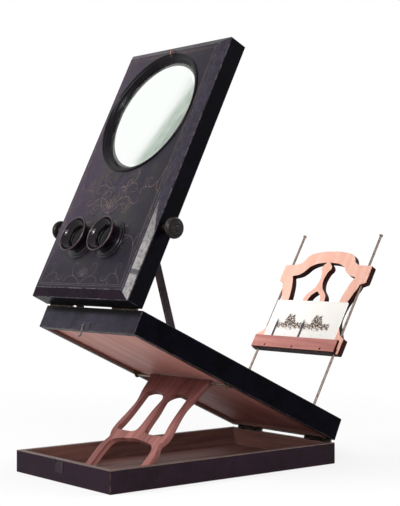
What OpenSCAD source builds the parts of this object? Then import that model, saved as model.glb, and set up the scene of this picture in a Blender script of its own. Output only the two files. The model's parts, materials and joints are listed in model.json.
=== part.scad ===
// Folding stereoscope: three hinged shallow boxes, a lens panel and a picture holder on rods.
// Units are millimetres. X runs to the viewer's right, Y to the rear and Z up.
// The origin is the centre of the base tray's underside.

/* [Boxes] */

// Width of the base, the table and the lens panel
box_w = 260; // [240:1:300]
// Thickness of the rails of the three boxes
wall = 10; // [9:0.5:12]
// Length of the base tray
base_len = 451; // [440:1:470]
// Height of the base tray
base_h = 34.7; // [30:0.1:40]
// Length of the table box
table_len = 451.5; // [440:0.5:470]
// Height of the table box
table_h = 37.4; // [36:0.1:42]
// Depth from the table's lower rim to its floor panel
table_recess = 6; // [4:0.5:8]
// Slope of the table when it stands on the prop, in degrees
table_tilt = 25.04; // [20:0.01:28]

/* [Lens panel] */

// Length of the lens panel
panel_len = 449; // [440:1:460]
// Depth of the panel's rails behind the board
panel_d = 29.7; // [28:0.1:34]
// Thickness of the front board
board_t = 9.4; // [8:0.1:11]
// Width of the board's bevel
bevel_w = 13; // [8:0.5:16]
// Angle between the panel and the table top, in degrees
panel_open = 88.74; // [80:0.01:95]
// Radius of the large lens opening
lens_open_r = 96; // [80:1:98]
// Height of the large lens above the panel's bottom edge
lens_h = 323; // [310:0.5:330]

/* [Eyepieces] */

// Distance between the two eyepieces
eye_space = 75; // [70:0.5:80]
// Height of the eyepieces above the panel's bottom edge
eye_h = 95.5; // [90:0.5:100]
// Radius of the sliding eyepiece tubes
tube_r = 22; // [20:0.5:23]
// Height of the focusing shaft above the panel's bottom edge
shaft_h = 125; // [124:0.5:135]

/* [Holder and rods] */

// Distance of each rod from the middle plane
rod_x = 96; // [94:0.5:98]
// Radius of the rods
rod_r = 2.15; // [1.8:0.05:2.6]
// Length of the rods above the crossbar's axis
rod_len = 347.6; // [330:0.1:350]
// Lean of the rods beyond the table's normal, in degrees
rod_lean = 4.76; // [0:0.01:8]
// Thickness of the fretwork holder
holder_t = 10.8; // [8:0.1:12]
// Thickness of the fretwork prop
prop_t = 9; // [8:0.1:10]

/* [Hidden] */

$fn = 64;

// Clearance of moving pins in their holes
run = 0.05;

// Half width and inside half width of the boxes
hw = box_w / 2;
inner = hw - wall;

// Axis of the rear hinge
ax_y = base_len / 2 + 2.6;
ax_z = base_h + 1;

// Table box in the hinge's frame: rear face, front face, lower rim, upper rim
t_rear = -3.33;
t_front = t_rear - table_len;
t_low = 0.98;
t_top = t_low + table_h;
t_floor = t_low + table_recess;
t_floor_top = t_floor + 5;

// Axis of the front hinge in the table's frame
lid_y = t_front - 1;
lid_z = t_top + 0.3;

// Lens panel in its own frame: bottom end, rear plane, board planes
p_bot = 1;
p_top = p_bot + panel_len;
p_rear = 0.3;
p_back = p_rear + panel_d;
p_face = p_back + board_t;
lens_y = p_bot + lens_h;
eye_y = p_bot + eye_h;
shaft_y = p_bot + shaft_h;

// Shelf under the eye lenses and end of the eyecups, in the panel's frame
eye_shelf = 48.3;
eye_tip = 60.2;

// Height of the focusing shaft's axis, a little in front of the middle of the rails' depth
shaft_z = p_rear + panel_d / 2 + 1;

// How far the focusing knobs stand off the panel's sides
knob_off = 9;

// Distance of the racks and pinions from the middle plane
rack_x = 64;

// Butt hinges: half length, distance from the middle, knuckle and pin radius
hinge_half = 31;
hinge_x = 86;
knuckle_r = 2.5;
hinge_pin_r = 1.1;

// Crossbar axis and prop axis in the table's frame
bar_y = -43.4;
bar_z = 25;
prop_y = -248;
prop_z = 1.5;
prop_lean = 44.5;
prop_up = ax_z - prop_y * sin(table_tilt) + prop_z * cos(table_tilt);

// Stay pivot in the table's frame, stay length and its angle above the table
stay_y = t_front + 79.3;
stay_z = t_top - 12;
stay_len = 137.9;
stay_ang = 131.1;

// Latch hook position
hook_x = -4;
hook_z = 8;

// Rack and pinion: module, teeth, pressure angle and backlash
gm = 1;
gz = 12;
ga = 25;
gb = 0.1;
g_pitch = gm * gz / 2;

// Heights along the rods of the holder's lower edge and of the card's lower edge
hold_low = rod_len - 0.9 * box_w;
card_low = rod_len - 0.868 * box_w;

// Colours
c_black = "#2b272c";
c_mahog = "#8a4f45";
c_light = "#d79a80";
c_brass = "#a08a5c";
c_steel = "#8d8a84";
c_card = "#efe9dc";
c_glass = "#cfe0dc";
c_horn = "#5a3a2a";

// Frames of the moving parts

module at_table() {
  translate([0, ax_y, ax_z]) rotate([-table_tilt, 0, 0]) children();
}

module at_panel() {
  at_table() translate([0, lid_y, lid_z]) rotate([panel_open, 0, 0]) children();
}

module at_rods() {
  at_table() translate([0, bar_y, bar_z]) rotate([-rod_lean, 0, 0]) children();
}

module at_prop() {
  at_table() translate([0, prop_y, prop_z]) rotate([table_tilt - prop_lean, 0, 0]) children();
}

module pair(x) {
  translate([x, 0, 0]) children();
  translate([-x, 0, 0]) children();
}

// Cylinder along X from x0 to x1
module xcyl(x0, x1, y, z, r) {
  translate([x0, y, z]) rotate([0, 90, 0]) cylinder(r = r, h = x1 - x0);
}

// Outline drawn in Y and Z, pushed along X from x0 to x1
module yz(x0, x1) {
  translate([x0, 0, 0]) rotate([90, 0, 90]) linear_extrude(x1 - x0) children();
}

// Smooth curve through a row of points
function cr(a, b, c, d, t) =
  0.5 * (2 * b + (c - a) * t + (2 * a - 5 * b + 4 * c - d) * t * t + (3 * b - a - 3 * c + d) * t * t * t);
function smooth(p, n = 4) = [
  for (i = [0 : len(p) - 2]) for (k = [0 : n - 1])
    cr(p[max(i - 1, 0)], p[i], p[i + 1], p[min(i + 2, len(p) - 1)], k / n),
  p[len(p) - 1]
];
function both(p) = concat(p, [for (i = [len(p) - 1 : -1 : 0]) if (p[i][0] > 0.0001) [-p[i][0], p[i][1]]]);

// Rails of a box, mitred at the corners

// Plan of an end rail whose outer face is at y0; dir is 1 when the inside lies towards +Y
module end_plan(y0, dir, w) {
  c = 0.8;
  polygon([
    [-hw + c, y0], [hw - c, y0], [hw - c / 2, y0 + dir * c / 2], [hw - w, y0 + dir * w],
    [-hw + w, y0 + dir * w], [-hw + c / 2, y0 + dir * c / 2]
  ]);
}

// Plan of the right side rail
module side_plan(y0, y1, w) {
  c = 0.8;
  polygon([
    [hw - c / 2, y0 + c / 2], [hw, y0 + c], [hw, y1 - c], [hw - c / 2, y1 - c / 2],
    [hw - w, y1 - w], [hw - w, y0 + w]
  ]);
}

module end_rail(y0, dir, w, z0, z1) {
  c = 0.7;
  a = y0;
  b = y0 + dir * w;
  intersection() {
    translate([0, 0, z0 - 1]) linear_extrude(z1 - z0 + 2) end_plan(y0, dir, w);
    yz(-hw - 1, hw + 1)
      polygon([
        [a, z0 + c], [a + dir * c, z0], [b, z0], [b, z1],
        [a + dir * c, z1], [a, z1 - c]
      ]);
  }
}

module side_rail(y0, y1, w, z0, z1) {
  c = 0.7;
  intersection() {
    translate([0, 0, z0 - 1]) linear_extrude(z1 - z0 + 2) side_plan(y0, y1, w);
    translate([0, y1 + 1, 0]) rotate([90, 0, 0]) linear_extrude(y1 - y0 + 2)
      polygon([
        [hw, z0 + c], [hw - c, z0], [hw - w, z0], [hw - w, z1],
        [hw - c, z1], [hw, z1 - c]
      ]);
  }
}

// Base tray

base_wall = wall - 0.2;

module base_front() {
  color(c_black) end_rail(-base_len / 2, 1, base_wall, 0, base_h);
}

module base_rear() {
  color(c_black) difference() {
    end_rail(base_len / 2, -1, base_wall, 0, base_h);
    for (x = [-hinge_x, hinge_x])
      translate([x - hinge_half - 0.1, base_len / 2 - 8.6, base_h - 1.2])
        cube([2 * hinge_half + 0.2, 10, 3]);
  }
}

module base_right() {
  color(c_black) side_rail(-base_len / 2, base_len / 2, base_wall, 0, base_h);
}

module base_left() {
  mirror([1, 0, 0]) base_right();
}

module base_floor() {
  x = hw - base_wall;
  y = base_len / 2 - base_wall;
  color(c_mahog) translate([-x, -y, 0]) cube([2 * x, 2 * y, 6]);
}

module latch_keeper() {
  y = -base_len / 2;
  color(c_brass) {
    translate([-15, y - 0.8, 15]) cube([21, 0.8, 18.4]);
    translate([hook_x - 8.6, y, 31.4]) rotate([90, 0, 0]) cylinder(r = 1.3, h = 4.4);
    translate([hook_x - 8.6, y - 4.2, 31.4]) rotate([90, 0, 0]) cylinder(r1 = 1.3, r2 = 2, h = 0.8);
  }
}

// Butt hinges

// Knuckles of a leaf: first is 0 for the leaf with three knuckles and 1 for the leaf with two
module knuckles(first) {
  step = 2 * hinge_half / 5;
  for (i = [first : 2 : 4])
    xcyl(-hinge_half + i * step + 0.1, -hinge_half + (i + 1) * step - 0.1, 0, 0, knuckle_r);
}

module tongues(first, y0, y1, z0) {
  step = 2 * hinge_half / 5;
  for (i = [first : 2 : 4])
    translate([-hinge_half + i * step + 0.1, y0, z0]) cube([step - 0.2, y1 - y0, 1.2]);
}

// One leaf: plate from y0 to y1 with its underside at z0, tongues from yt to the axis
module leaf(first, y0, y1, z0, t0, t1, bore) {
  difference() {
    union() {
      translate([-hinge_half, y0, z0]) cube([2 * hinge_half, y1 - y0, 1.2]);
      tongues(first, t0, t1, z0);
      knuckles(first);
    }
    xcyl(-hinge_half - 1, hinge_half + 1, 0, 0, bore);
  }
}

module rear_hinge_fixed() {
  color(c_brass) translate([0, ax_y, ax_z]) pair(hinge_x)
    leaf(0, -11.1, -2.9, -2.2, -3, 0, hinge_pin_r);
}

module rear_hinge_moving() {
  color(c_brass) at_table() pair(hinge_x)
    leaf(1, t_rear - 8, -2.9, t_low, -3, 0, hinge_pin_r + run);
}

module rear_hinge_pins() {
  color(c_steel) translate([0, ax_y, ax_z]) pair(hinge_x)
    xcyl(-hinge_half - 0.6, hinge_half + 0.6, 0, 0, hinge_pin_r);
}

module front_hinge_fixed() {
  color(c_brass) at_table() translate([0, lid_y, lid_z]) pair(hinge_x)
    leaf(0, 2.9, 9.5, -1.5, 0, 3, hinge_pin_r);
}

module front_hinge_moving() {
  color(c_brass) at_panel() pair(hinge_x)
    leaf(1, 2.9, 9.5, p_rear, 0, 3, hinge_pin_r + run);
}

module front_hinge_pins() {
  color(c_steel) at_table() translate([0, lid_y, lid_z]) pair(hinge_x)
    xcyl(-hinge_half - 0.6, hinge_half + 0.6, 0, 0, hinge_pin_r);
}

// Table box

module table_front() {
  color(c_black) at_table() difference() {
    end_rail(t_front, 1, wall, t_low, t_top);
    for (x = [-hinge_x, hinge_x]) {
      translate([x - hinge_half - 0.1, t_front - 1, t_top - 1.2]) cube([2 * hinge_half + 0.2, 9.6, 3]);
      xcyl(x - hinge_half - 0.8, x + hinge_half + 0.8, lid_y, lid_z, knuckle_r + 0.3);
    }
    translate([hook_x, t_front - 1, hook_z]) rotate([-90, 0, 0]) cylinder(r = 1.4, h = 7);
  }
}

module table_rear() {
  color(c_black) at_table() difference() {
    end_rail(t_rear, -1, wall, t_low, t_top);
    for (x = [-hinge_x, hinge_x])
      translate([x - hinge_half - 0.1, t_rear - 8.1, t_low - 1]) cube([2 * hinge_half + 0.2, 10, 2.2]);
  }
}

module right_side_of_table() {
  difference() {
    side_rail(t_front, t_rear, wall, t_low, t_top);
    xcyl(inner - 1, inner + 5.5, bar_y, bar_z, 3 + run);
    xcyl(inner - 1, inner + 6, stay_y, stay_z, 2);
  }
}

module table_right() {
  color(c_black) at_table() right_side_of_table();
}

module table_left() {
  color(c_black) at_table() mirror([1, 0, 0]) right_side_of_table();
}

module table_floor() {
  color(c_mahog) at_table() translate([-inner, t_front + wall, t_floor])
    cube([2 * inner, table_len - 2 * wall, 5]);
}

// Prop under the table

prop_outer = smooth([
  [0.285, -0.05], [0.286, 0.02], [0.287, 0.135], [0.276, 0.18], [0.2545, 0.224], [0.2535, 0.238],
  [0.262, 0.25], [0.2755, 0.285], [0.273, 0.34], [0.256, 0.41], [0.243, 0.487], [0.246, 0.54],
  [0.266, 0.607], [0.276, 0.675], [0.3, 0.7335]
]);

prop_arch = both(smooth([
  [0.229, -0.1], [0.229, 0.06], [0.228, 0.15], [0.218, 0.195], [0.182, 0.223], [0.11, 0.237], [0.05, 0.243],
  [0, 0.248]
]));

prop_window = concat(
  smooth([[0.05, 0.303], [0.036, 0.33], [0.03, 0.39], [0.027, 0.46], [0.015, 0.53], [0.012, 0.556]]),
  smooth([[0.02, 0.574], [0.06, 0.6], [0.12, 0.612], [0.17, 0.608], [0.212, 0.59]]),
  smooth([[0.214, 0.56], [0.2145, 0.48], [0.217, 0.42], [0.225, 0.36], [0.236, 0.31], [0.231, 0.297]]),
  smooth([[0.19, 0.293], [0.13, 0.292], [0.08, 0.294]])
);

module prop_plan() {
  translate([0, -0.7335 * box_w]) scale([box_w, box_w]) difference() {
    polygon(both(prop_outer));
    polygon(prop_arch);
    polygon(prop_window);
    mirror([1, 0]) polygon(prop_window);
  }
}

module prop() {
  color(c_mahog) at_prop() difference() {
    union() {
      rotate([90, 0, 0]) translate([0, 0, -prop_t / 2]) linear_extrude(prop_t) prop_plan();
      xcyl(-78, 78, 0, 0, prop_t / 2);
    }
    xcyl(-90, 90, 0, 0, 2 + run);
    rotate([prop_lean, 0, 0]) translate([-200, -300, 6.1 - prop_up - 60]) cube([400, 600, 60]);
  }
}

module prop_rod() {
  color(c_steel) at_table() xcyl(-inner + 0.1, inner - 0.1, prop_y, prop_z, 2);
}

module prop_plates() {
  color(c_brass) at_table() for (s = [-1, 1]) scale([s, 1, 1])
    difference() {
      union() {
        translate([inner - 1.3, prop_y - 9, 0.2]) cube([1.3, 18, 6.7]);
        xcyl(inner - 1.3, inner, prop_y, prop_z, 5.2);
      }
      xcyl(inner - 3, inner + 1, prop_y, prop_z, 2);
      translate([inner - 2, prop_y - 10, t_floor]) cube([4, 20, 4]);
    }
}

module prop_plate_screws() {
  color(c_brass) at_table() for (s = [-1, 1]) scale([s, 1, 1])
    for (d = [-7, 7])
      translate([inner - 1.3, prop_y + d, 4.2]) rotate([0, -90, 0])
        rotate_extrude($fn = 32) polygon([[0, 0], [1.5, 0], [1.2, 0.5], [0.6, 0.8], [0, 0.85]]);
}

// Latch

module latch_plate() {
  color(c_black) at_table() difference() {
    translate([-9, t_front - 1, 3]) cube([20, 1, 11]);
    translate([hook_x, t_front - 2, hook_z]) rotate([-90, 0, 0]) cylinder(r = 1.4, h = 7);
  }
}

module latch_pivot() {
  color(c_brass) at_table() translate([hook_x, t_front + 5, hook_z]) rotate([90, 0, 0])
    rotate_extrude($fn = 48) polygon([
      [0, 0], [1.4, 0], [1.4, 7.8], [2.8, 7.8], [2.6, 8.5], [1.8, 9], [0, 9.2]
    ]);
}

module latch_hook() {
  color(c_brass) at_table() translate([hook_x, t_front - 1.2, hook_z]) rotate([90, 0, 0])
    linear_extrude(1.4) difference() {
      union() {
        circle(r = 3.4);
        translate([-2, -15.6]) square([4, 15]);
        difference() {
          translate([0, -15.2]) circle(r = 3.8);
          translate([0, -15.2]) circle(r = 1.7);
          translate([-6, -15.2]) square([6, 8]);
        }
      }
      circle(r = 1.4 + run);
      translate([0, -15.2]) circle(r = 1.7);
      translate([-6, -15.2]) square([6, 3]);
      translate([-6, -16.4]) square([5.9, 3]);
    }
}

// Stays that hold the lens panel up

module stay() {
  at_table() translate([0, stay_y, stay_z]) rotate([stay_ang, 0, 0])
    difference() {
      union() {
        xcyl(inner - 4.5, inner - 0.5, 0, 0, 6.25);
        translate([inner - 4.5, 0, -6.25]) cube([4, stay_len - 6.25, 12.5]);
        xcyl(inner - 4.5, inner - 0.5, stay_len - 6.25, 0, 6.25);
      }
      xcyl(inner - 6, inner + 1, 0, 0, 2 + run);
    }
}

module stay_right() {
  color(c_black) stay();
}

module stay_left() {
  color(c_black) mirror([1, 0, 0]) stay();
}

module stay_pins() {
  color(c_brass) at_table() for (s = [-1, 1]) scale([s, 1, 1]) {
    xcyl(inner - 5, inner + 6, stay_y, stay_z, 2);
    xcyl(inner - 6.1, inner - 4.7, stay_y, stay_z, 3.8);
  }
}

module stay_stops() {
  color(c_mahog) at_panel() for (s = [-1, 1]) scale([s, 1, 1])
    yz(inner - 10, inner) translate([p_bot - 1, p_rear - 0.3])
      polygon([[80.3, 18.25], [98.5, 10.05], [100, 11], [100, 26], [80.3, 26]]);
}

// Rod frame

module rod_crossbar() {
  color(c_mahog) at_rods() difference() {
    xcyl(-inner + 1.5, inner - 1.5, 0, 0, 6);
    for (s = [-1, 1]) {
      translate([s * rod_x, 0, 0]) cylinder(r = rod_r, h = 10);
      scale([s, 1, 1]) xcyl(inner - 10, inner, 0, 0, 3);
    }
  }
}

module crossbar_pins() {
  color(c_steel) at_rods() for (s = [-1, 1]) scale([s, 1, 1])
    xcyl(inner - 10, inner + 5, 0, 0, 3);
}

module rods() {
  color(c_steel) at_rods() pair(rod_x) cylinder(r = rod_r, h = rod_len - 2);
}

module rod_caps() {
  color(c_steel) at_rods() pair(rod_x) translate([0, 0, rod_len - 2])
    rotate_extrude($fn = 32) polygon([
      [0, 0], [2.7, 0], [3.3, 0.6], [3.4, 1.6], [3, 2.6], [2.2, 3.3], [1, 3.7], [0, 3.8]
    ]);
}

// Picture holder: outlines are in parts of the box width, measured down from the rods' tops

hold_outer = concat(
  smooth([[0, -0.135], [0.07, -0.1365], [0.14, -0.145], [0.2, -0.161], [0.232, -0.187],
    [0.249, -0.214], [0.272, -0.231], [0.302, -0.2405], [0.34, -0.2435], [0.412, -0.245]]),
  [[0.419, -0.249]],
  [[0.42, -0.366]],
  [[0.413, -0.374]],
  smooth([[0.372, -0.389], [0.364, -0.42], [0.346, -0.458], [0.33, -0.5], [0.3145, -0.545],
    [0.3065, -0.6], [0.307, -0.645], [0.319, -0.68], [0.342, -0.715], [0.363, -0.745], [0.38, -0.769],
    [0.413, -0.785]]),
  [[0.42, -0.791]],
  [[0.42, -0.896]],
  [[0.416, -0.9]]
);

hold_window = concat(
  smooth([[0.012, -0.2225], [0.095, -0.23], [0.149, -0.249], [0.173, -0.264], [0.2, -0.293],
    [0.228, -0.313], [0.262, -0.325], [0.3, -0.331]]),
  smooth([[0.303, -0.34], [0.29, -0.36], [0.2755, -0.395], [0.261, -0.445], [0.249, -0.51],
    [0.245, -0.6], [0.25, -0.68], [0.262, -0.745]]),
  [[0.258, -0.772]],
  [[0.06, -0.774]],
  smooth([[0.036, -0.745], [0.04, -0.71], [0.066, -0.66], [0.093, -0.6], [0.104, -0.54], [0.1, -0.49],
    [0.077, -0.459], [0.04, -0.425], [0.021, -0.385], [0.0175, -0.345], [0.029, -0.3], [0.046, -0.277],
    [0.047, -0.258], [0.03, -0.236]])
);

hold_lyre = both(smooth([
  [0, -0.447], [0.02, -0.46], [0.045, -0.482], [0.06, -0.52], [0.059, -0.57], [0.043, -0.62], [0.02, -0.665],
  [0, -0.69]
]));

module holder_plan() {
  translate([0, rod_len]) scale([box_w, box_w]) difference() {
    polygon(both(hold_outer));
    polygon(hold_window);
    mirror([1, 0]) polygon(hold_window);
    polygon(hold_lyre);
  }
}

hold_y0 = -4.7;

module holder_back() {
  color(c_light) at_rods() difference() {
    translate([0, hold_y0 + holder_t, 0]) rotate([90, 0, 0]) linear_extrude(holder_t) holder_plan();
    for (s = [-1, 1]) {
      translate([s * rod_x, 0, hold_low - 5]) cylinder(r = rod_r + run, h = 300);
    }
    for (x = [-0.27, 0, 0.27])
      translate([x * box_w, hold_y0 + 5, hold_low + 4.6]) rotate([90, 0, 0]) cylinder(r = 1.1, h = 6);
  }
}

module holder_ledge() {
  x = 0.4 * box_w;
  z0 = hold_low;
  color(c_light) at_rods() difference() {
    yz(-x, x) polygon([
      [hold_y0, z0], [hold_y0 - 6.2, z0], [hold_y0 - 7, z0 + 0.8], [hold_y0 - 7, z0 + 23],
      [hold_y0 - 6.2, z0 + 23.6], [hold_y0 - 2.4, z0 + 23.6], [hold_y0 - 2.2, card_low], [hold_y0, card_low]
    ]);
    for (s = [-0.27, 0, 0.27])
      translate([s * box_w, hold_y0 + 1, hold_low + 4.6]) rotate([90, 0, 0]) cylinder(r = 1.1, h = 12);
  }
}

module ledge_screws() {
  color(c_brass) at_rods() for (s = [-0.27, 0, 0.27])
    translate([s * box_w, hold_y0 + 5, hold_low + 4.6]) rotate([90, 0, 0])
      rotate_extrude($fn = 32) polygon([
        [0, 0], [1.1, 0], [1.1, 12], [2, 12], [1.7, 12.5], [0.8, 12.9], [0, 12.9]
      ]);
}

module stereo_card() {
  color(c_card) at_rods() translate([-89, hold_y0 - 1.5, card_low]) cube([178, 1.3, 89]);
}

// Lens panel: in its own frame Y runs up the panel and Z to the front

module panel_bottom() {
  color(c_black) at_panel() difference() {
    end_rail(p_bot, 1, wall, p_rear, p_back);
    for (x = [-hinge_x, hinge_x]) {
      translate([x - hinge_half - 0.1, p_bot - 1, p_rear - 1]) cube([2 * hinge_half + 0.2, 9.6, 2.2]);
      xcyl(x - hinge_half - 0.8, x + hinge_half + 0.8, 0, 0, knuckle_r + 0.3);
    }
  }
}

module panel_top() {
  color(c_black) at_panel() difference() {
    end_rail(p_top, -1, wall, p_rear, p_back);
    translate([90, p_top - 5, 15]) rotate([-90, 0, 0]) cylinder(r = 1.5, h = 8);
  }
}

module right_side_of_panel() {
  difference() {
    side_rail(p_bot, p_top, wall, p_rear, p_back);
    xcyl(inner - 1, hw + 1, shaft_y, shaft_z, 5);
  }
}

module panel_right() {
  color(c_black) at_panel() right_side_of_panel();
}

module panel_left() {
  color(c_black) at_panel() mirror([1, 0, 0]) right_side_of_panel();
}

module panel_board() {
  e = 1.2;
  color(c_black) at_panel() difference() {
    intersection() {
      translate([0, p_top, 0]) rotate([90, 0, 0]) linear_extrude(panel_len) polygon([
        [-hw, p_back], [hw, p_back], [hw, p_back + e], [hw - bevel_w, p_face],
        [bevel_w - hw, p_face], [-hw, p_back + e]
      ]);
      yz(-hw - 1, hw + 1) polygon([
        [p_bot, p_back], [p_top, p_back], [p_top, p_back + e], [p_top - bevel_w, p_face],
        [p_bot + bevel_w, p_face], [p_bot, p_back + e]
      ]);
    }
    translate([0, lens_y, p_back - 1]) cylinder(r = lens_open_r + 8, h = 20, $fn = 128);
    pair(eye_space / 2) translate([0, eye_y, p_back - 1]) cylinder(r = tube_r + 3, h = 20);
  }
}

module top_catch() {
  color(c_brass) at_panel() translate([90, p_top - 5, 15]) rotate([-90, 0, 0]) {
    cylinder(r = 1.5, h = 7);
    translate([0, 0, 5]) cylinder(r = 2.6, h = 1.2);
  }
}

// Large lens

module lens_ring() {
  r = lens_open_r;
  f = p_face;
  color(c_black) at_panel() translate([0, lens_y, 0])
    rotate_extrude($fn = 128) polygon([
      [r + 8, p_back - 6], [r + 8, f], [r + 13, f], [r + 13, f + 1], [r + 12.2, f + 2.2],
      [r + 10.8, f + 2.6], [r + 9.6, f + 2.1], [r + 8.8, f + 0.9], [r + 7.4, f + 0.6],
      [r + 5.6, f - 0.6], [r + 3.4, f - 2.6], [r + 1.6, f - 4.8], [r + 0.4, f - 6], [r, f - 6.8],
      [r, f - 7.9], [r + 2.2, f - 7.9], [r + 2.2, p_back - 6]
    ]);
}

module large_lens() {
  r = lens_open_r + 2.1;
  q = lens_open_r - 2.5;
  s = 4.2;
  m = p_face - 9.5;
  n = 12;
  color(c_glass) at_panel() translate([0, lens_y, 0])
    rotate_extrude($fn = 128) polygon(concat(
      [for (i = [0 : n]) [q * i / n, m - 1.5 - s * (1 - pow(i / n, 2))]],
      [[r, m - 1.5], [r, m + 1.5]],
      [for (i = [n : -1 : 0]) [q * i / n, m + 1.5 + s * (1 - pow(i / n, 2))]]
    ));
}

module lens_retainer() {
  r = lens_open_r + 2.15;
  z = p_face - 11.1;
  color(c_black) at_panel() translate([0, lens_y, 0])
    rotate_extrude($fn = 128) polygon([
      [r - 6.5, z - 3.4], [r, z - 3.4], [r, z], [r - 2.4, z], [r - 4.4, z - 1.2]
    ]);
}

module lens_wire_hook() {
  r = 5.5;
  y = lens_y + lens_open_r + 11.7;
  color("#9c6a4c") at_panel() translate([3, y, p_face]) {
    translate([0, r, 0]) cylinder(r = 0.95, h = 2, $fn = 24);
    translate([0, -r, 0.46]) cylinder(r = 0.95, h = 1.54, $fn = 24);
    translate([0, 0, 1.6]) rotate([0, -90, 0]) rotate([0, 0, -90])
      rotate_extrude(angle = 180, $fn = 48) translate([r, 0]) circle(r = 0.75, $fn = 24);
  }
}

// Eyepieces

module eye_flanges() {
  r = tube_r + 0.06;
  f = p_face;
  color(c_black) at_panel() pair(eye_space / 2) translate([0, eye_y, 0])
    rotate_extrude($fn = 96) polygon([
      [r, p_back], [tube_r + 3, p_back], [tube_r + 3, f], [33, f], [33, f + 1.3], [32.2, f + 2.3],
      [31, f + 2.6], [29.4, f + 2.6], [29.1, f + 3.8], [28.2, f + 4.9], [26.8, f + 5.5], [r, f + 5.5]
    ]);
}

module eye_tubes() {
  r = tube_r;
  color(c_black) at_panel() pair(eye_space / 2) translate([0, eye_y, 0])
    rotate_extrude($fn = 96) polygon(concat(
      [[r - 4, 8.85], [r, 8.85], [r, 49.8]],
      smooth([[r + 1.8, 50.4], [r + 2.8, 51.6], [r + 3.6, 53.4], [r + 5, 55.8], [r + 6.4, 58.2],
        [r + 7.2, eye_tip]], 2),
      smooth([[r + 5.2, eye_tip], [r + 3.6, 57.2], [r + 1, 54.4], [r - 1.8, 52.6]], 2),
      [[r - 1.8, eye_shelf], [r - 4, eye_shelf]]
    ));
}

module eye_rims() {
  r = tube_r;
  color(c_horn) at_panel() pair(eye_space / 2) translate([0, eye_y, eye_tip])
    rotate_extrude($fn = 96) polygon([
      [r + 5.2, 0], [r + 7.3, 0], [r + 7.7, 0.7], [r + 7.5, 1.4], [r + 6.8, 1.8], [r + 5.9, 1.6], [r + 5.1, 0.8]
    ]);
}

module eye_lenses() {
  r = tube_r - 1.9;
  q = tube_r - 4.4;
  n = 8;
  color(c_glass) at_panel() pair(eye_space / 2) translate([0, eye_y, eye_shelf + 1.25])
    rotate_extrude($fn = 96) polygon(concat(
      [for (i = [0 : n]) [q * i / n, -1.2 - 1.6 * (1 - pow(i / n, 2))]],
      [[r, -1.2], [r, 1.2]],
      [for (i = [n : -1 : 0]) [q * i / n, 1.2 + 1.6 * (1 - pow(i / n, 2))]]
    ));
}

module eye_retainers() {
  r = tube_r - 1.8;
  color(c_brass) at_panel() pair(eye_space / 2) translate([0, eye_y, eye_shelf + 2.5])
    rotate_extrude($fn = 64) polygon([[r - 2.2, 1.1], [r - 1.6, 0], [r, 0], [r, 1.7], [r - 1.4, 1.7]]);
}

// Focusing gear behind the board

carrier_z = 8.85;
carrier_top = shaft_y - g_pitch - 3;

module focus_carrier() {
  color(c_mahog) at_panel() difference() {
    translate([-rack_x - 6, eye_y - 31, carrier_z]) cube([2 * rack_x + 12, carrier_top - eye_y + 31, 5]);
    pair(eye_space / 2) translate([0, eye_y, 0]) cylinder(r = tube_r, h = 30, $fn = 96);
    translate([0, eye_y - 31, 0]) cylinder(r = 14, h = 30);
  }
}

rack_half = gm * PI / 4 - gb / 2;

module rack_tooth(z) {
  y = shaft_y - g_pitch;
  up = 0.8 * gm;
  dn = 1.1 * gm;
  k = tan(ga);
  polygon([
    [y - dn - 0.1, z - rack_half - dn * k], [y - dn, z - rack_half - dn * k], [y + up, z - rack_half + up * k],
    [y + up, z + rack_half - up * k], [y - dn, z + rack_half + dn * k], [y - dn - 0.1, z + rack_half + dn * k]
  ]);
}

module focus_racks() {
  color(c_brass) at_panel() pair(rack_x) yz(-4, 4) difference() {
    union() {
      translate([carrier_top - 5, shaft_z - 8.5]) square([5 + 3 - 1.1 * gm, 17]);
      for (i = [-5 : 2 : 5]) rack_tooth(shaft_z + i * gm * PI / 2);
    }
    translate([carrier_top - 6, carrier_z]) square([6, 5]);
  }
}

module shaft_bushes() {
  color(c_brass) at_panel() for (s = [-1, 1]) scale([s, 1, 1]) difference() {
    union() {
      xcyl(inner - 0.8, hw + 0.6, shaft_y, shaft_z, 5);
      xcyl(hw, hw + knob_off + 0.6, shaft_y, shaft_z, 7.5);
      xcyl(inner - 1.2, inner, shaft_y, shaft_z, 7);
    }
    xcyl(inner - 3, hw + knob_off + 3, shaft_y, shaft_z, 3 + run);
  }
}

module focus_shaft() {
  color(c_steel) at_panel() xcyl(-hw - knob_off - 15, hw + knob_off + 15, shaft_y, shaft_z, 3);
}

base_r = g_pitch * cos(ga);
root_r = g_pitch - 1.05 * gm;
tip_r = g_pitch + 0.8 * gm;

function roll(r) = tan(acos(base_r / r)) * 180 / PI - acos(base_r / r);

half_base = (gm * PI / 4 - gb / 2) / g_pitch * 180 / PI + roll(g_pitch);

function tooth_side(s) = [
  for (k = [0 : 5])
    let (r = base_r + (tip_r - base_r) * (s > 0 ? 5 - k : k) / 5, a = half_base - roll(r)) [r, s * a]
];

module focus_pinions() {
  pts = [
    for (i = [0 : gz - 1])
      for (q = concat([[root_r, -half_base]], tooth_side(-1), tooth_side(1), [[root_r, half_base]]))
        [q[0] * cos(180 + i * 360 / gz + q[1]), q[0] * sin(180 + i * 360 / gz + q[1])]
  ];
  color(c_brass) at_panel() pair(rack_x) difference() {
    union() {
      yz(-3.5, 3.5) translate([shaft_y, shaft_z]) polygon(pts);
      xcyl(3.5, 8, shaft_y, shaft_z, 4.9);
    }
    xcyl(-9, 9, shaft_y, shaft_z, 3);
  }
}

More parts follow.
